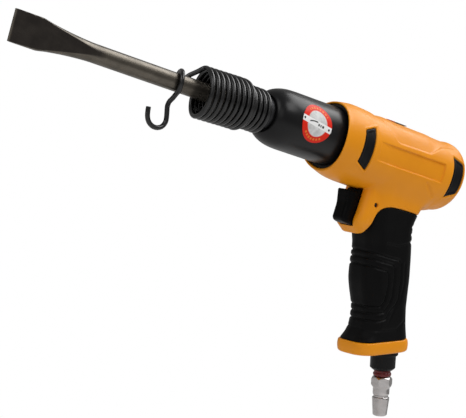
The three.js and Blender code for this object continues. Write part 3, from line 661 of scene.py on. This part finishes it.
def tube(path, radius, sides=20):
    """A round wire along a path, with a small bevel at each end."""
    path = np.asarray(path, float)
    tangent = np.gradient(path, axis=0)
    tangent /= np.linalg.norm(tangent, axis=1)[:, None]
    normal = np.cross(tangent[0], (0.3, 0.9, 0.1))
    normal /= np.linalg.norm(normal)
    frames = []
    for t in tangent:
        normal = normal - t * (normal @ t)
        normal /= np.linalg.norm(normal)
        frames.append((normal, np.cross(t, normal)))
    angles = np.linspace(0, FULL_TURN, sides, endpoint=False)

    def ring(at, axes, r):
        return at + r * (np.cos(angles)[:, None] * axes[0] + np.sin(angles)[:, None] * axes[1])

    bevel = 0.35
    first = ring(path[0] - tangent[0] * bevel, frames[0], radius - bevel)
    last = ring(path[-1] + tangent[-1] * bevel, frames[-1], radius - bevel)
    return loft([first, *(ring(at, axes, radius) for at, axes in zip(path, frames)), last])


# ---------------- materials


def base_material(name, roughness, metallic=0.0, coat=0.0, gloss=0.5):
    material = bpy.data.materials.new(name)
    material.use_nodes = True
    tree = material.node_tree
    shader = tree.nodes["Principled BSDF"]
    for socket, value in (("Roughness", roughness), ("Metallic", metallic), ("Coat Weight", coat),
                          ("Coat Roughness", 0.1), ("Specular IOR Level", gloss)):
        shader.inputs[socket].default_value = value
    return material, tree, shader, add(tree, "TexCoord").outputs["Object"]


def feed(tree, socket, value):
    """Puts a number, vector or colour on a socket, or links another node's output to it."""
    if isinstance(value, bpy.types.NodeSocket):
        tree.links.new(value, socket)
    else:
        socket.default_value = (*value, 1) if socket.type == "RGBA" else value


def add(tree, kind, **inputs):
    """A new node with its inputs fed by name, where an underscore stands for a space."""
    made = tree.nodes.new("ShaderNode" + kind)
    for name, value in inputs.items():
        feed(tree, made.inputs[name.replace("_", " ")], value)
    return made


def maths(tree, kind, *values):
    made = add(tree, "Math")
    made.operation = kind
    for socket, value in zip(made.inputs, values):
        feed(tree, socket, value)
    return made.outputs["Value"]


def mapped(tree, value, start, end, low=0.0, high=1.0):
    """low where value is at start, high where it is at end, and held beyond them."""
    made = add(tree, "MapRange", Value=value, From_Min=start, From_Max=end, To_Min=low, To_Max=high)
    return made.outputs["Result"]


def mixed(tree, mask, under, over):
    """One colour over another, where the mask is 1."""
    made = add(tree, "Mix")
    made.data_type = "RGBA"
    for name, value in (("Factor", mask), ("A", under), ("B", over)):
        feed(tree, made.inputs[name], value)
    return made.outputs["Result"]


def split(tree, vector):
    return add(tree, "SeparateXYZ", Vector=vector).outputs


def noise(tree, place, scale, detail=3.0, stretch=None):
    if stretch:
        place = add(tree, "Mapping", Vector=place, Scale=stretch).outputs["Vector"]
    return add(tree, "TexNoise", Vector=place, Scale=scale, Detail=detail).outputs["Fac"]


def spread(tree, value, low, high):
    """Noise keeps mostly between 0.3 and 0.7; this takes it to low and high."""
    return mapped(tree, value, 0.3, 0.7, low, high)


def ramp(tree, value, stops):
    made = add(tree, "ValToRGB", Fac=value)
    elements = made.color_ramp.elements
    while len(elements) < len(stops):
        elements.new(0.5)
    for element, (position, colour) in zip(elements, stops):
        element.position = position
        element.color = (*colour, 1)
    return made.outputs["Color"]


def bumped(tree, shader, height, strength, distance):
    made = add(tree, "Bump", Height=height, Strength=strength, Distance=distance * MM)
    tree.links.new(made.outputs["Normal"], shader.inputs["Normal"])


def moulded(name, dark, light, rough, grain=900, grain_depth=0.05, coat=0.0, blotch=22, gloss=0.35):
    """Moulded plastic or rubber: a fine grain, and tone and gloss that wander a little."""
    material, tree, shader, place = base_material(name, rough[0], coat=coat, gloss=gloss)
    tone = noise(tree, place, blotch, 4)
    tree.links.new(ramp(tree, tone, [(0.32, dark), (0.68, light)]), shader.inputs["Base Color"])
    tree.links.new(spread(tree, noise(tree, place, 60, 5), *rough), shader.inputs["Roughness"])
    bumped(tree, shader, noise(tree, place, grain, 2), 0.5, grain_depth)
    return material


def metal(name, dark, light, rough, stretch=(1, 1, 1), scale=120, metallic=1.0, depth=0.03):
    """Worked metal: marks drawn out along the working direction."""
    material, tree, shader, place = base_material(name, rough[0], metallic)
    marks = noise(tree, place, scale, 5, stretch)
    tree.links.new(ramp(tree, marks, [(0.3, dark), (0.7, light)]), shader.inputs["Base Color"])
    tree.links.new(spread(tree, marks, rough[1], rough[0]), shader.inputs["Roughness"])
    bumped(tree, shader, marks, 0.4, depth)
    return material


def round_label():
    """Round film: a red ring, a silver middle and a pale bar across it with two dark studs.
    Lengths are in millimetres from its middle."""
    material, tree, shader, place = base_material("round_label", 0.4, gloss=0.2)
    soft = 0.12
    tilt = math.radians(8)
    colour = (0.8, 0.022, 0.008)

    def times(a, b):
        return maths(tree, "MULTIPLY", a, b)

    def plus(a, b):
        return maths(tree, "ADD", a, b)

    def minus(a, b):
        return maths(tree, "SUBTRACT", a, b)

    def distance(a, b):
        return maths(tree, "SQRT", plus(times(a, a), times(b, b)))

    def within(value, high):
        return mapped(tree, value, (high + soft) * MM, (high - soft) * MM)

    def between(value, low, high):
        return times(mapped(tree, value, (low - soft) * MM, (low + soft) * MM), within(value, high))

    def paint(mask, tint):
        nonlocal colour
        colour = mixed(tree, mask, colour, tint)

    # u runs along the barrel and v round it, then both are turned to the bar's slant
    at = split(tree, place)
    u = minus(at["X"], STICKER_X * MM)
    v = maths(tree, "ARCTAN2", at["Z"], times(at["Y"], -1))
    v = times(minus(v, STICKER_LIFT), SLEEVE_R * MM)
    radius = distance(u, v)
    bar_u = plus(times(u, math.cos(tilt)), times(v, -math.sin(tilt)))
    bar_v = plus(times(u, math.sin(tilt)), times(v, math.cos(tilt)))
    bar_v = plus(bar_v, 0.3 * MM)

    # short orange dashes over and under the middle stand in for print
    round_by = maths(tree, "ARCTAN2", bar_v, bar_u)
    dashes = mapped(tree, maths(tree, "SINE", times(round_by, 27)), -0.5, 0.1)
    arcs = mapped(tree, maths(tree, "ABSOLUTE", maths(tree, "SINE", round_by)), 0.6799, 0.6801)
    band = times(between(radius, 10.7, 12.3), arcs)
    paint(times(times(band, dashes), 0.7), (0.9, 0.3, 0.03))
    silver = ramp(tree, noise(tree, place, 260, 3), [(0.35, (0.6, 0.6, 0.6)), (0.65, (0.8, 0.8, 0.8))])
    paint(within(radius, 9.2), silver)
    paint(between(radius, 9.2, 9.5), (0.75, 0.4, 0.35))
    paint(times(between(bar_v, -2.2, 2.2), within(radius, 14.8)), (0.95, 0.95, 0.95))
    # a plain device: one slim sweep and three blocks, no lettering
    sweep = plus(bar_v, times(times(bar_u, bar_u), 30.0))
    paint(times(between(sweep, 0.8, 1.7), between(bar_u, -7.4, 0.2)), (0.02, 0.02, 0.022))
    for start, end in ((0.9, 2.3), (3.1, 4.1), (4.9, 6.7)):
        paint(times(between(bar_u, start, end), between(bar_v, -1.0, 0.7)), (0.03, 0.03, 0.033))
    for stud in (-12.6, 11.8):
        paint(within(distance(minus(bar_u, stud * MM), bar_v), 0.85), (0.02, 0.02, 0.02))
    tree.links.new(colour, shader.inputs["Base Color"])
    bumped(tree, shader, noise(tree, place, 700, 2), 0.2, 0.02)
    return material


def plate_film():
    """Flat film: red at both ends and plain grey between them."""
    material, tree, shader, place = base_material("label_film", 0.35, gloss=0.3)
    along = mapped(tree, split(tree, place)["X"], PLATE_FRONT * MM, PLATE_REAR * MM)
    red, grey = (0.62, 0.03, 0.015), (0.2, 0.19, 0.19)
    colour = ramp(tree, along, [(0.0, red), (0.38, red), (0.4, grey), (0.94, grey), (0.96, red)])
    tree.links.new(colour, shader.inputs["Base Color"])
    bumped(tree, shader, noise(tree, place, 900, 2), 0.3, 0.02)
    return material


def forged():
    """Forged steel, with painted shade: a darker colour on the hammered flats where they face sideways,
    and the plain steel colour where the bar is round.
    """
    material, tree, shader, place = base_material("forged_steel", 0.32, 0.9)
    marks = noise(tree, place, 140, 5, (0.7, 1.2, 1.2))
    bar = ramp(tree, marks, [(0.3, (0.1, 0.088, 0.072)), (0.7, (0.15, 0.133, 0.11))])
    # painted shade for the flats: a darker colour in place of the dark surroundings they reflect
    scale = ramp(tree, marks, [(0.3, (0.036, 0.031, 0.028)), (0.7, (0.068, 0.059, 0.052))])
    facing = split(tree, place.node.outputs["Normal"])
    # the painted shade goes where the surface faces along y, on the flats of the blade
    flat = mapped(tree, maths(tree, "ABSOLUTE", facing["Y"]), 0.88, 0.97)
    blade = mapped(tree, split(tree, place)["X"], (FLATS_END + 1) * MM, (FLATS_END - 5) * MM)
    colour = mixed(tree, maths(tree, "MULTIPLY", flat, blade), bar, scale)
    tree.links.new(colour, shader.inputs["Base Color"])
    tree.links.new(spread(tree, marks, 0.38, 0.27), shader.inputs["Roughness"])
    bumped(tree, shader, noise(tree, place, 900, 3), 0.35, 0.03)
    return material


# satin yellow-orange paint, a touch deeper in tone in places
YELLOW = moulded("yellow_shell", (0.86, 0.3, 0.004), (0.93, 0.335, 0.006), (0.33, 0.42),
                 grain=1400, grain_depth=0.03, gloss=0.28)
SLEEVE_BLACK = moulded("sleeve_black", (0.0035, 0.0035, 0.004), (0.006, 0.006, 0.007), (0.27, 0.34),
                       grain=1200, grain_depth=0.03, blotch=30, gloss=0.28)
TRIGGER_BLACK = moulded("trigger_black", (0.0012, 0.0012, 0.0013), (0.0022, 0.0022, 0.0024),
                        (0.26, 0.36), grain=1200, grain_depth=0.04, gloss=0.08)
BUSHING_BLACK = moulded("bushing_black", (0.003, 0.0033, 0.0036), (0.006, 0.0064, 0.007), (0.3, 0.45),
                        grain=1000, gloss=0.18)
GRIP_RUBBER = moulded("grip_rubber", (0.0015, 0.0015, 0.0016), (0.0032, 0.0032, 0.0034), (0.4, 0.52),
                      grain=1100, grain_depth=0.08, gloss=0.1)
BUMPER_RUBBER = moulded("bumper_rubber", (0.003, 0.003, 0.0033), (0.005, 0.005, 0.0055), (0.4, 0.5),
                        grain=1100, grain_depth=0.06, gloss=0.16)
SEAL = moulded("seal_rubber", (0.004, 0.004, 0.004), (0.008, 0.008, 0.008), (0.4, 0.6))
RED = moulded("red_seal", (0.10, 0.004, 0.006), (0.17, 0.008, 0.01), (0.2, 0.35),
              grain=700, grain_depth=0.03, coat=0.3)
LABEL_FILM = plate_film()
ROUND_LABEL = round_label()
FORGED = forged()
# the wire is black and glossy, with hardly any grain
SPRING = moulded("spring_steel", (0.003, 0.003, 0.0034), (0.006, 0.006, 0.0068), (0.2, 0.27),
                 grain=400, grain_depth=0.002, gloss=0.6)
TURNED = metal("turned_steel", (0.38, 0.38, 0.39), (0.55, 0.55, 0.56), (0.22, 0.36),
               stretch=(3, 0.5, 0.5), scale=150)
NICKEL = metal("nickel", (0.46, 0.435, 0.43), (0.62, 0.6, 0.595), (0.1, 0.22),
               stretch=(0.8, 0.8, 2.2), scale=110, depth=0.02)
BLACK_STEEL = metal("black_steel", (0.02, 0.02, 0.022), (0.045, 0.045, 0.048), (0.3, 0.45),
                    scale=200, metallic=0.7)
BRASS = metal("brass", (0.5, 0.34, 0.12), (0.68, 0.5, 0.2), (0.22, 0.35), stretch=(2, 1, 1), scale=140)
SINTERED = metal("sintered_metal", (0.2, 0.16, 0.09), (0.36, 0.3, 0.18), (0.5, 0.7),
                 scale=900, metallic=0.9, depth=0.15)

# ---------------- pieces


def piece(name, replaced, shape, material, body="hammer_body", sharp=40):
    """One visible piece in place of one CAD node, with creases at angles past sharp."""
    points, faces = shape
    mesh = bpy.data.meshes.new(name)
    if isinstance(faces, np.ndarray):
        faces = faces.tolist()
    mesh.from_pydata((np.asarray(points) * MM).tolist(), [], faces)
    mesh.validate()
    mesh.update()
    mesh.polygons.foreach_set("use_smooth", np.ones(len(mesh.polygons), bool))
    mesh.set_sharp_from_angle(angle=math.radians(sharp))
    obj = bpy.data.objects.new(name, mesh)
    bpy.context.scene.collection.objects.link(obj)
    mesh.materials.append(material)
    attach(obj, body)
    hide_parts(replaced)
    return obj


SHELL_PITCH, GRIP_PITCH = ((0.62, 0.55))

piece("shell", "housing", surface(housing, (-134, -28.5, -141.5), (2, 28.5, 29), SHELL_PITCH), YELLOW,
      sharp=50)
piece("grip", "grip_sleeve", surface(grip, (-78, -19, -142), (2, 19, -33), GRIP_PITCH), GRIP_RUBBER,
      sharp=60)
piece("cap", "base_cap", surface(base_cap, (-62, -19.5, -150), (0, 19.5, -119), 0.5), YELLOW,
      sharp=50)
piece("trigger_paddle", "trigger", surface(trigger, (-102, -8, -60), (-70, 8, -28), 0.4), TRIGGER_BLACK,
      "trigger", sharp=50)
for end, band in BANDS.items():
    for word, side in (("left", -1), ("right", 1)):
        y0, y1 = sorted((side * 12, side * 28))
        shape = surface(bumper(band, side), (band[0][0] - 1, y0, -22), (band[0][1] + 1, y1, 18), 0.4)
        piece(f"{word}_{end}_pad", f"{word}_{end}_bumper", shape, BUMPER_RUBBER, sharp=60)

# barrel

dome = catmull([(SLEEVE_FRONT, 14.0), (-190.3, 15.4), (-188.6, 17.2), (-186, 18.8), (-182.4, 20.1),
                (-178, 21.0), (-173, 21.4), (-168, SLEEVE_R)], 4)
sleeve = [(SLEEVE_FRONT, NOSE_HOLE_R), *map(tuple, dome), (SLEEVE_REAR, SLEEVE_R),
          (SLEEVE_REAR, SLEEVE_INNER_R), (-185.5, SLEEVE_INNER_R), (-185.5, NOSE_HOLE_R)]
piece("sleeve", "barrel_sleeve", turned(sleeve, 160, 0.25, 2), SLEEVE_BLACK)

RING_FRONT, RING_REAR = span("front_seal_ring", X)
RING_R = reach("front_seal_ring", Z)
seal_ring = [(RING_FRONT, 21.7), (RING_FRONT, RING_R), (RING_REAR, RING_R), (RING_REAR, 21.7)]
piece("seal_ring", "front_seal_ring", turned(seal_ring), SEAL)

NOSE_FRONT, CYLINDER_REAR = span("cylinder", X)
CYLINDER_SEAT_R = reach("cylinder", Z)
cylinder = [
    (NOSE_FRONT, TAIL_R + 0.15), (NOSE_FRONT, 11.2), (NOSE_FRONT + 1.2, 12), (-185, 12.2),
    (-184.6, 17), (SLEEVE_SEAT, 17), (SLEEVE_SEAT + GAP, CYLINDER_SEAT_R),
    (CYLINDER_REAR, CYLINDER_SEAT_R), (CYLINDER_REAR, PISTON_BORE_R), (-184, PISTON_BORE_R),
    (-188, TAIL_R + 0.15),
]
piece("barrel_cylinder", "cylinder", turned(cylinder), BLACK_STEEL)


def round_film():
    """The sticker: a disc wrapped on the sleeve, with real thickness."""
    rings = []
    rows = [(f, SLEEVE_R + 0.22) for f in np.linspace(0.02, 1, 16)] + [(1.0, SLEEVE_R + 0.05)]
    angles = np.linspace(0, FULL_TURN, 120, endpoint=False)
    for fraction, r in rows:
        round_by = STICKER_LIFT + STICKER_R * fraction * np.sin(angles) / SLEEVE_R
        rings.append(np.stack([STICKER_X + STICKER_R * fraction * np.cos(angles),
                               -r * np.cos(round_by), r * np.sin(round_by)], 1))
    return loft(rings)


piece("sticker", "barrel_label", round_film(), ROUND_LABEL)


def flat_label():
    """The plate on top: rounded corners and an eased upper edge."""
    corner = 1.2
    x0, x1, y1 = PLATE_FRONT + corner, PLATE_REAR - corner, PLATE_HALF - corner
    rings = []
    for z, inset in ((PLATE_FOOT, 0), (PLATE_FACE - 0.1, 0), (PLATE_FACE, 0.12)):
        loop = []
        for quarter, (cx, cy) in enumerate(((x1, y1), (x0, y1), (x0, -y1), (x1, -y1))):
            for a in np.linspace(quarter, quarter + 1, 7) * math.pi / 2:
                loop.append((cx + (corner - inset) * math.cos(a),
                             cy + (corner - inset) * math.sin(a), z))
        rings.append(loop)
    return loft(rings)


piece("top_plate", "top_label", flat_label(), LABEL_FILM)

# chisel


def chisel():
    """A round bar whose two flats start as a point and widen evenly to a flared blade."""
    outline = Stations([
        # x, half height, half thickness
        (CHISEL_TIP, BLADE_HALF - 0.2, 1.0), (-404, BLADE_HALF, 1.2), (-396, BLADE_HALF, 1.7),
        (-385.4, BLADE_HALF - 0.02, 2.35), (-382.6, 10.35, 2.55), (-378, 9.5, 2.9), (-371, 8.55, 3.6),
        (-364, 7.75, 4.4), (-356, 7.05, 5.25), (-349, 6.6, 5.9), (-342, SHANK_R, 6.27),
        (FLATS_END, SHANK_R, SHANK_R), (-300, SHANK_R, SHANK_R),
    ])
    stations = [CHISEL_TIP, CHISEL_TIP + 0.9, CHISEL_TIP + 2.1, *np.linspace(-403, -387, 9),
                *np.linspace(-386, -330, 56), *np.linspace(-326, -236, 12)]
    angles = np.linspace(0, FULL_TURN, 112, endpoint=False)
    rings = []
    for x in stations:
        half, flat = (float(v) for v in outline(x))
        if x == CHISEL_TIP:
            flat = 0.35
        if x > FLATS_END:
            flat = 2 * SHANK_R
        y = smax(smin(SHANK_R * np.cos(angles), flat, 0.15), -flat, 0.15)
        rings.append(np.stack([np.full_like(y, x), y, half * np.sin(angles)], 1))
    steps = 3
    tail = rounded([
        (-300, 3), (-231.5, SHANK_R), (-229, COLLAR_R), (-223.4, COLLAR_R), (-222.2, TAIL_R),
        (CHISEL_END - 1.2, TAIL_R), (CHISEL_END, TAIL_R - 0.9), (CHISEL_END, 0.02),
    ], 0.5, steps)
    # the first corner only leads in to the shank's own line
    rings += [circle(x, r, angles) for x, r in tail[steps + 1:]]
    rings.sort(key=lambda ring: ring[0][0])
    return loft(rings)


piece("flat_chisel", "chisel", chisel(), FORGED, "chisel", sharp=35)

# retaining spring


def on_coil(turn, radius):
    """A point on the coil: its front turns hang loose, a little low and out of square."""
    angle = math.pi / 2 + turn * FULL_TURN
    slack = min(max(1 - turn / LOOSE_TURNS, 0), 1)
    right = max(math.cos(angle), 0)
    y = radius * (1 - slack * (0.1 + 0.08 * right)) * math.cos(angle) - 0.6 * slack
    x = COIL_FRONT + turn * COIL_PITCH + slack * (0.8 + 2.2 * math.cos(angle) + 1.3 * right)
    return (x, y, radius * math.sin(angle) - COIL_DROOP * slack)


def on_loop(x, degrees):
    """A point on the turn that grips the chisel."""
    angle = math.radians(degrees)
    return (x, LOOP_R * math.cos(angle), LOOP_R * math.sin(angle))


def spring_path():
    """Small turns, big turns, a turn round the chisel, and the finger hook under it."""
    per_turn = 12
    points = []
    for i in range((BIG_TURNS + SMALL_TURNS) * per_turn, -1, -1):
        turn = i / per_turn
        blend = float(step01((turn - BIG_TURNS + 0.5) / 0.5))
        points.append(on_coil(turn, BIG_COIL_R + (SMALL_COIL_R - BIG_COIL_R) * blend))
    points += [(-254.2, 2.2, 12.2), (-258, 5.2, 8.2)]
    points += [on_loop(x, degrees) for x, degrees in (
        (-261, 28), (-263.4, 17), (-265.4, 26), (-267.2, 52), (-269.2, 84), (-271.2, 115),
        (-272.8, 143), (-273.4, 172), (-273, 200), (-272, 225), (-271.4, 246))]
    points += [(-272.4, -2.2, -11), (-273.9, -1.4, -14), (-274.2, -1, -17), (-273.5, -1, -20.5),
               (-272.7, -1, -24), (-272.4, -1, -27.3), (-273.5, -1, -30.1), (-275.3, -1, -31.9),
               (-277.9, -1, -33), (-281, -1, -33.2), (-284.2, -1, -32.2), (-286.6, -1, -30.3),
               (-288.1, -1, -27.6), (-288.8, -1, -24.8), (-289.2, -1, -21.7)]
    return catmull(points, 6)


piece("beehive_spring", "retainer_spring", tube(spring_path(), WIRE_R), SPRING,
      "retainer", sharp=60)

# air inlet

AIR_BORE_R = 3.8
FLANGE_BOTTOM = -150.2
BUSHING_BOTTOM = -161.6
bushing = [
    (BUSHING_BOTTOM, AIR_BORE_R), (BUSHING_BOTTOM, 7.6), (-159.8, 9.6), (FLANGE_BOTTOM, 9.7),
    (FLANGE_BOTTOM, 10.7), (-149.6, 11.2), (CAP_BOTTOM - GAP, 11.2), (CAP_BOTTOM - GAP, 7), (-123, 7),
    (-122, 6.4), (-122, AIR_BORE_R),
]
piece("bushing", "inlet_bushing", upright(bushing), BUSHING_BLACK)

thread_ring = [
    (-166.5, AIR_BORE_R), (-166.5, 6.2), (-165.8, 6.8), (-164.8, 7.0), (-164, 6.8), (-163.5, 6.35),
    (BUSHING_BOTTOM - GAP, 6.25), (BUSHING_BOTTOM - GAP, AIR_BORE_R),
]
piece("red_ring", "thread_seal_ring", upright(thread_ring, radius=0.2), RED)

HEX_HALF = 7.15
HEX_BOTTOM, HEX_TOP = -175.6, -166.8
PLUG_BOTTOM = -196.9
PLUG_OUTLINE = np.array([
    # height, radius: nose, shoulder, groove and neck
    (-199, 4.4), (-196.9, 4.6), (-196.1, 5.4), (-193.5, 5.6), (-185, 6.4), (-183.8, 6.5),
    (-182.8, 6.4), (-182.4, 5.55), (-181.2, 5.5), (-180.8, 6.0), (-179.8, 6.3), (-170, 6.4),
])


def air_plug(x, y, z):
    u, w = to_handle(x, z)
    u = u - INLET_X
    r = np.hypot(u, y)
    facet = (np.arctan2(y, u) + math.pi / 6) % (math.pi / 3) - math.pi / 6
    ends = np.maximum(HEX_BOTTOM - w, w - HEX_TOP)
    chamfer = np.maximum(r - 6.2 - 0.75 * (w - HEX_BOTTOM), r - 6.6 - 0.9 * (HEX_TOP - w))
    hexagon = smax(smax(r * np.cos(facet) - HEX_HALF, ends, 0.3), chamfer * 0.78, 0.25)
    nose = r - np.interp(w, *PLUG_OUTLINE.T)
    nose = np.maximum(nose * 0.9, np.maximum(PLUG_BOTTOM - w, w + 170))
    return smax(smin(hexagon, nose, 0.3), 3.4 - r, 0.5)


piece("quick_plug", "air_plug", surface(air_plug, (-24, -9.5, -194), (2, 9.5, -155), 0.3), NICKEL,
      sharp=50)

# throttle spring


def throttle_spring():
    turns = np.linspace(0, 5, 101)
    angle = turns * FULL_TURN
    path = np.stack([8.8 + 2.04 * turns, 2.9 * np.cos(angle), THROTTLE_Z + 2.9 * np.sin(angle)], 1)
    return tube(from_handle(path), 0.5, 12)


# the real spring shortens towards its rear end as the trigger is pressed; here it only gets a mesh of its
# own
return_spring = piece("return_spring", "throttle_spring", throttle_spring(), SPRING,
                      sharp=60)
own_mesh(return_spring)

# ---------------- carried-over CAD nodes

CARRIED = (
    (BLACK_STEEL, ("barrel_lock_screw", "base_screw_right", "base_screw_left", "trigger_pin")),
    (TURNED, ("piston", "valve_block", "valve_disc", "valve_dowel_pin", "throttle_stem",
              "throttle_ball")),
    (BRASS, ("valve_cover", "throttle_bushing")),
    (SEAL, ("rear_buffer", "throttle_seal", "inlet_seal")),
    (SINTERED, ("muffler", "inlet_screen")),
)
for material, names in CARRIED:
    for name in names:
        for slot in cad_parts[name].material_slots:
            slot.material = material

# ---------------- camera, floor, light

VIEW_FROM = (-0.9952, -0.9561, -0.132)
VIEW_AIM = (-0.19605, 0, -0.07033)
VIEW_ROLL = math.radians(14.332)
LIGHT_AIM = (-0.17, 0, -0.04)


def aimed(position, target, roll=0.0):
    """The place and turn of something at position that looks at target along its own -Z."""
    turn = (Vector(target) - Vector(position)).to_track_quat("-Z", "Y").to_matrix().to_4x4()
    return Matrix.Translation(position) @ turn @ Matrix.Rotation(roll, 4, "Z")


def add_camera():
    data = bpy.data.cameras.new("camera")
    data.sensor_width = 36
    data.lens = 139.06
    data.clip_start = 0.05
    data.clip_end = 50
    camera = bpy.data.objects.new("camera", data)
    camera.matrix_world = aimed(VIEW_FROM, VIEW_AIM, VIEW_ROLL)
    bpy.context.scene.collection.objects.link(camera)
    bpy.context.scene.camera = camera
    bpy.context.scene.view_settings.view_transform = "Standard"
    bpy.context.scene.view_settings.look = "None"


def mix_shaders(tree, factor, first, second):
    made = add(tree, "MixShader")
    for socket, value in zip(made.inputs, (factor, first, second)):
        tree.links.new(value, socket)
    return made.outputs["Shader"]


def background(tree, colour, strength):
    return add(tree, "Background", Color=colour, Strength=strength).outputs["Background"]


def add_world():
    """Soft light from all round, and plain white wherever the camera sees past the object."""
    world = bpy.data.worlds.new("studio")
    world.use_nodes = True
    bpy.context.scene.world = world
    tree = world.node_tree
    tree.nodes.clear()
    seen = add(tree, "LightPath").outputs["Is Camera Ray"]
    shown = mix_shaders(tree, seen, background(tree, (1, 0.99, 0.97), 0.3),
                        background(tree, (1, 1, 1), 1.0))
    add(tree, "OutputWorld", Surface=shown)


def add_floor(half=6.0, height=-0.24):
    """A pale floor that shows as white from above and is clear from beneath."""
    mesh = bpy.data.meshes.new("floor")
    corners = [(-half, -half, height), (half, -half, height), (half, half, height), (-half, half, height)]
    mesh.from_pydata(corners, [], [(0, 1, 2, 3)])
    floor = bpy.data.objects.new("floor", mesh)
    bpy.context.scene.collection.objects.link(floor)
    material, tree, shader, _ = base_material("pale_floor", 0.9)
    shader.inputs["Base Color"].default_value = (0.75, 0.75, 0.75, 1)
    seen = add(tree, "LightPath").outputs["Is Camera Ray"]
    white = add(tree, "Emission").outputs["Emission"]
    beneath = add(tree, "NewGeometry").outputs["Backfacing"]
    clear = add(tree, "BsdfTransparent").outputs["BSDF"]
    shown = mix_shaders(tree, seen, shader.outputs["BSDF"], white)
    shown = mix_shaders(tree, beneath, shown, clear)
    tree.links.new(shown, tree.nodes["Material Output"].inputs["Surface"])
    mesh.materials.append(material)


def softbox(name, position, size, power):
    data = bpy.data.lights.new(name, "AREA")
    data.shape = "RECTANGLE"
    data.size, data.size_y = size
    data.energy = power
    lamp = bpy.data.objects.new(name, data)
    lamp.matrix_world = aimed(position, LIGHT_AIM)
    bpy.context.scene.collection.objects.link(lamp)


add_camera()
add_world()
add_floor()
softbox("top_rear", (0.5, -0.1, 0.95), (0.9, 0.7), 7.5)
softbox("side_high", (0, -0.8, 0.9), (0.6, 0.6), 4.5)
softbox("front_high", (-1.2, -0.1, 0.6), (0.6, 0.6), 2.4)
softbox("front_low", (-1.0, -0.8, 0.35), (0.6, 0.6), 0.8)
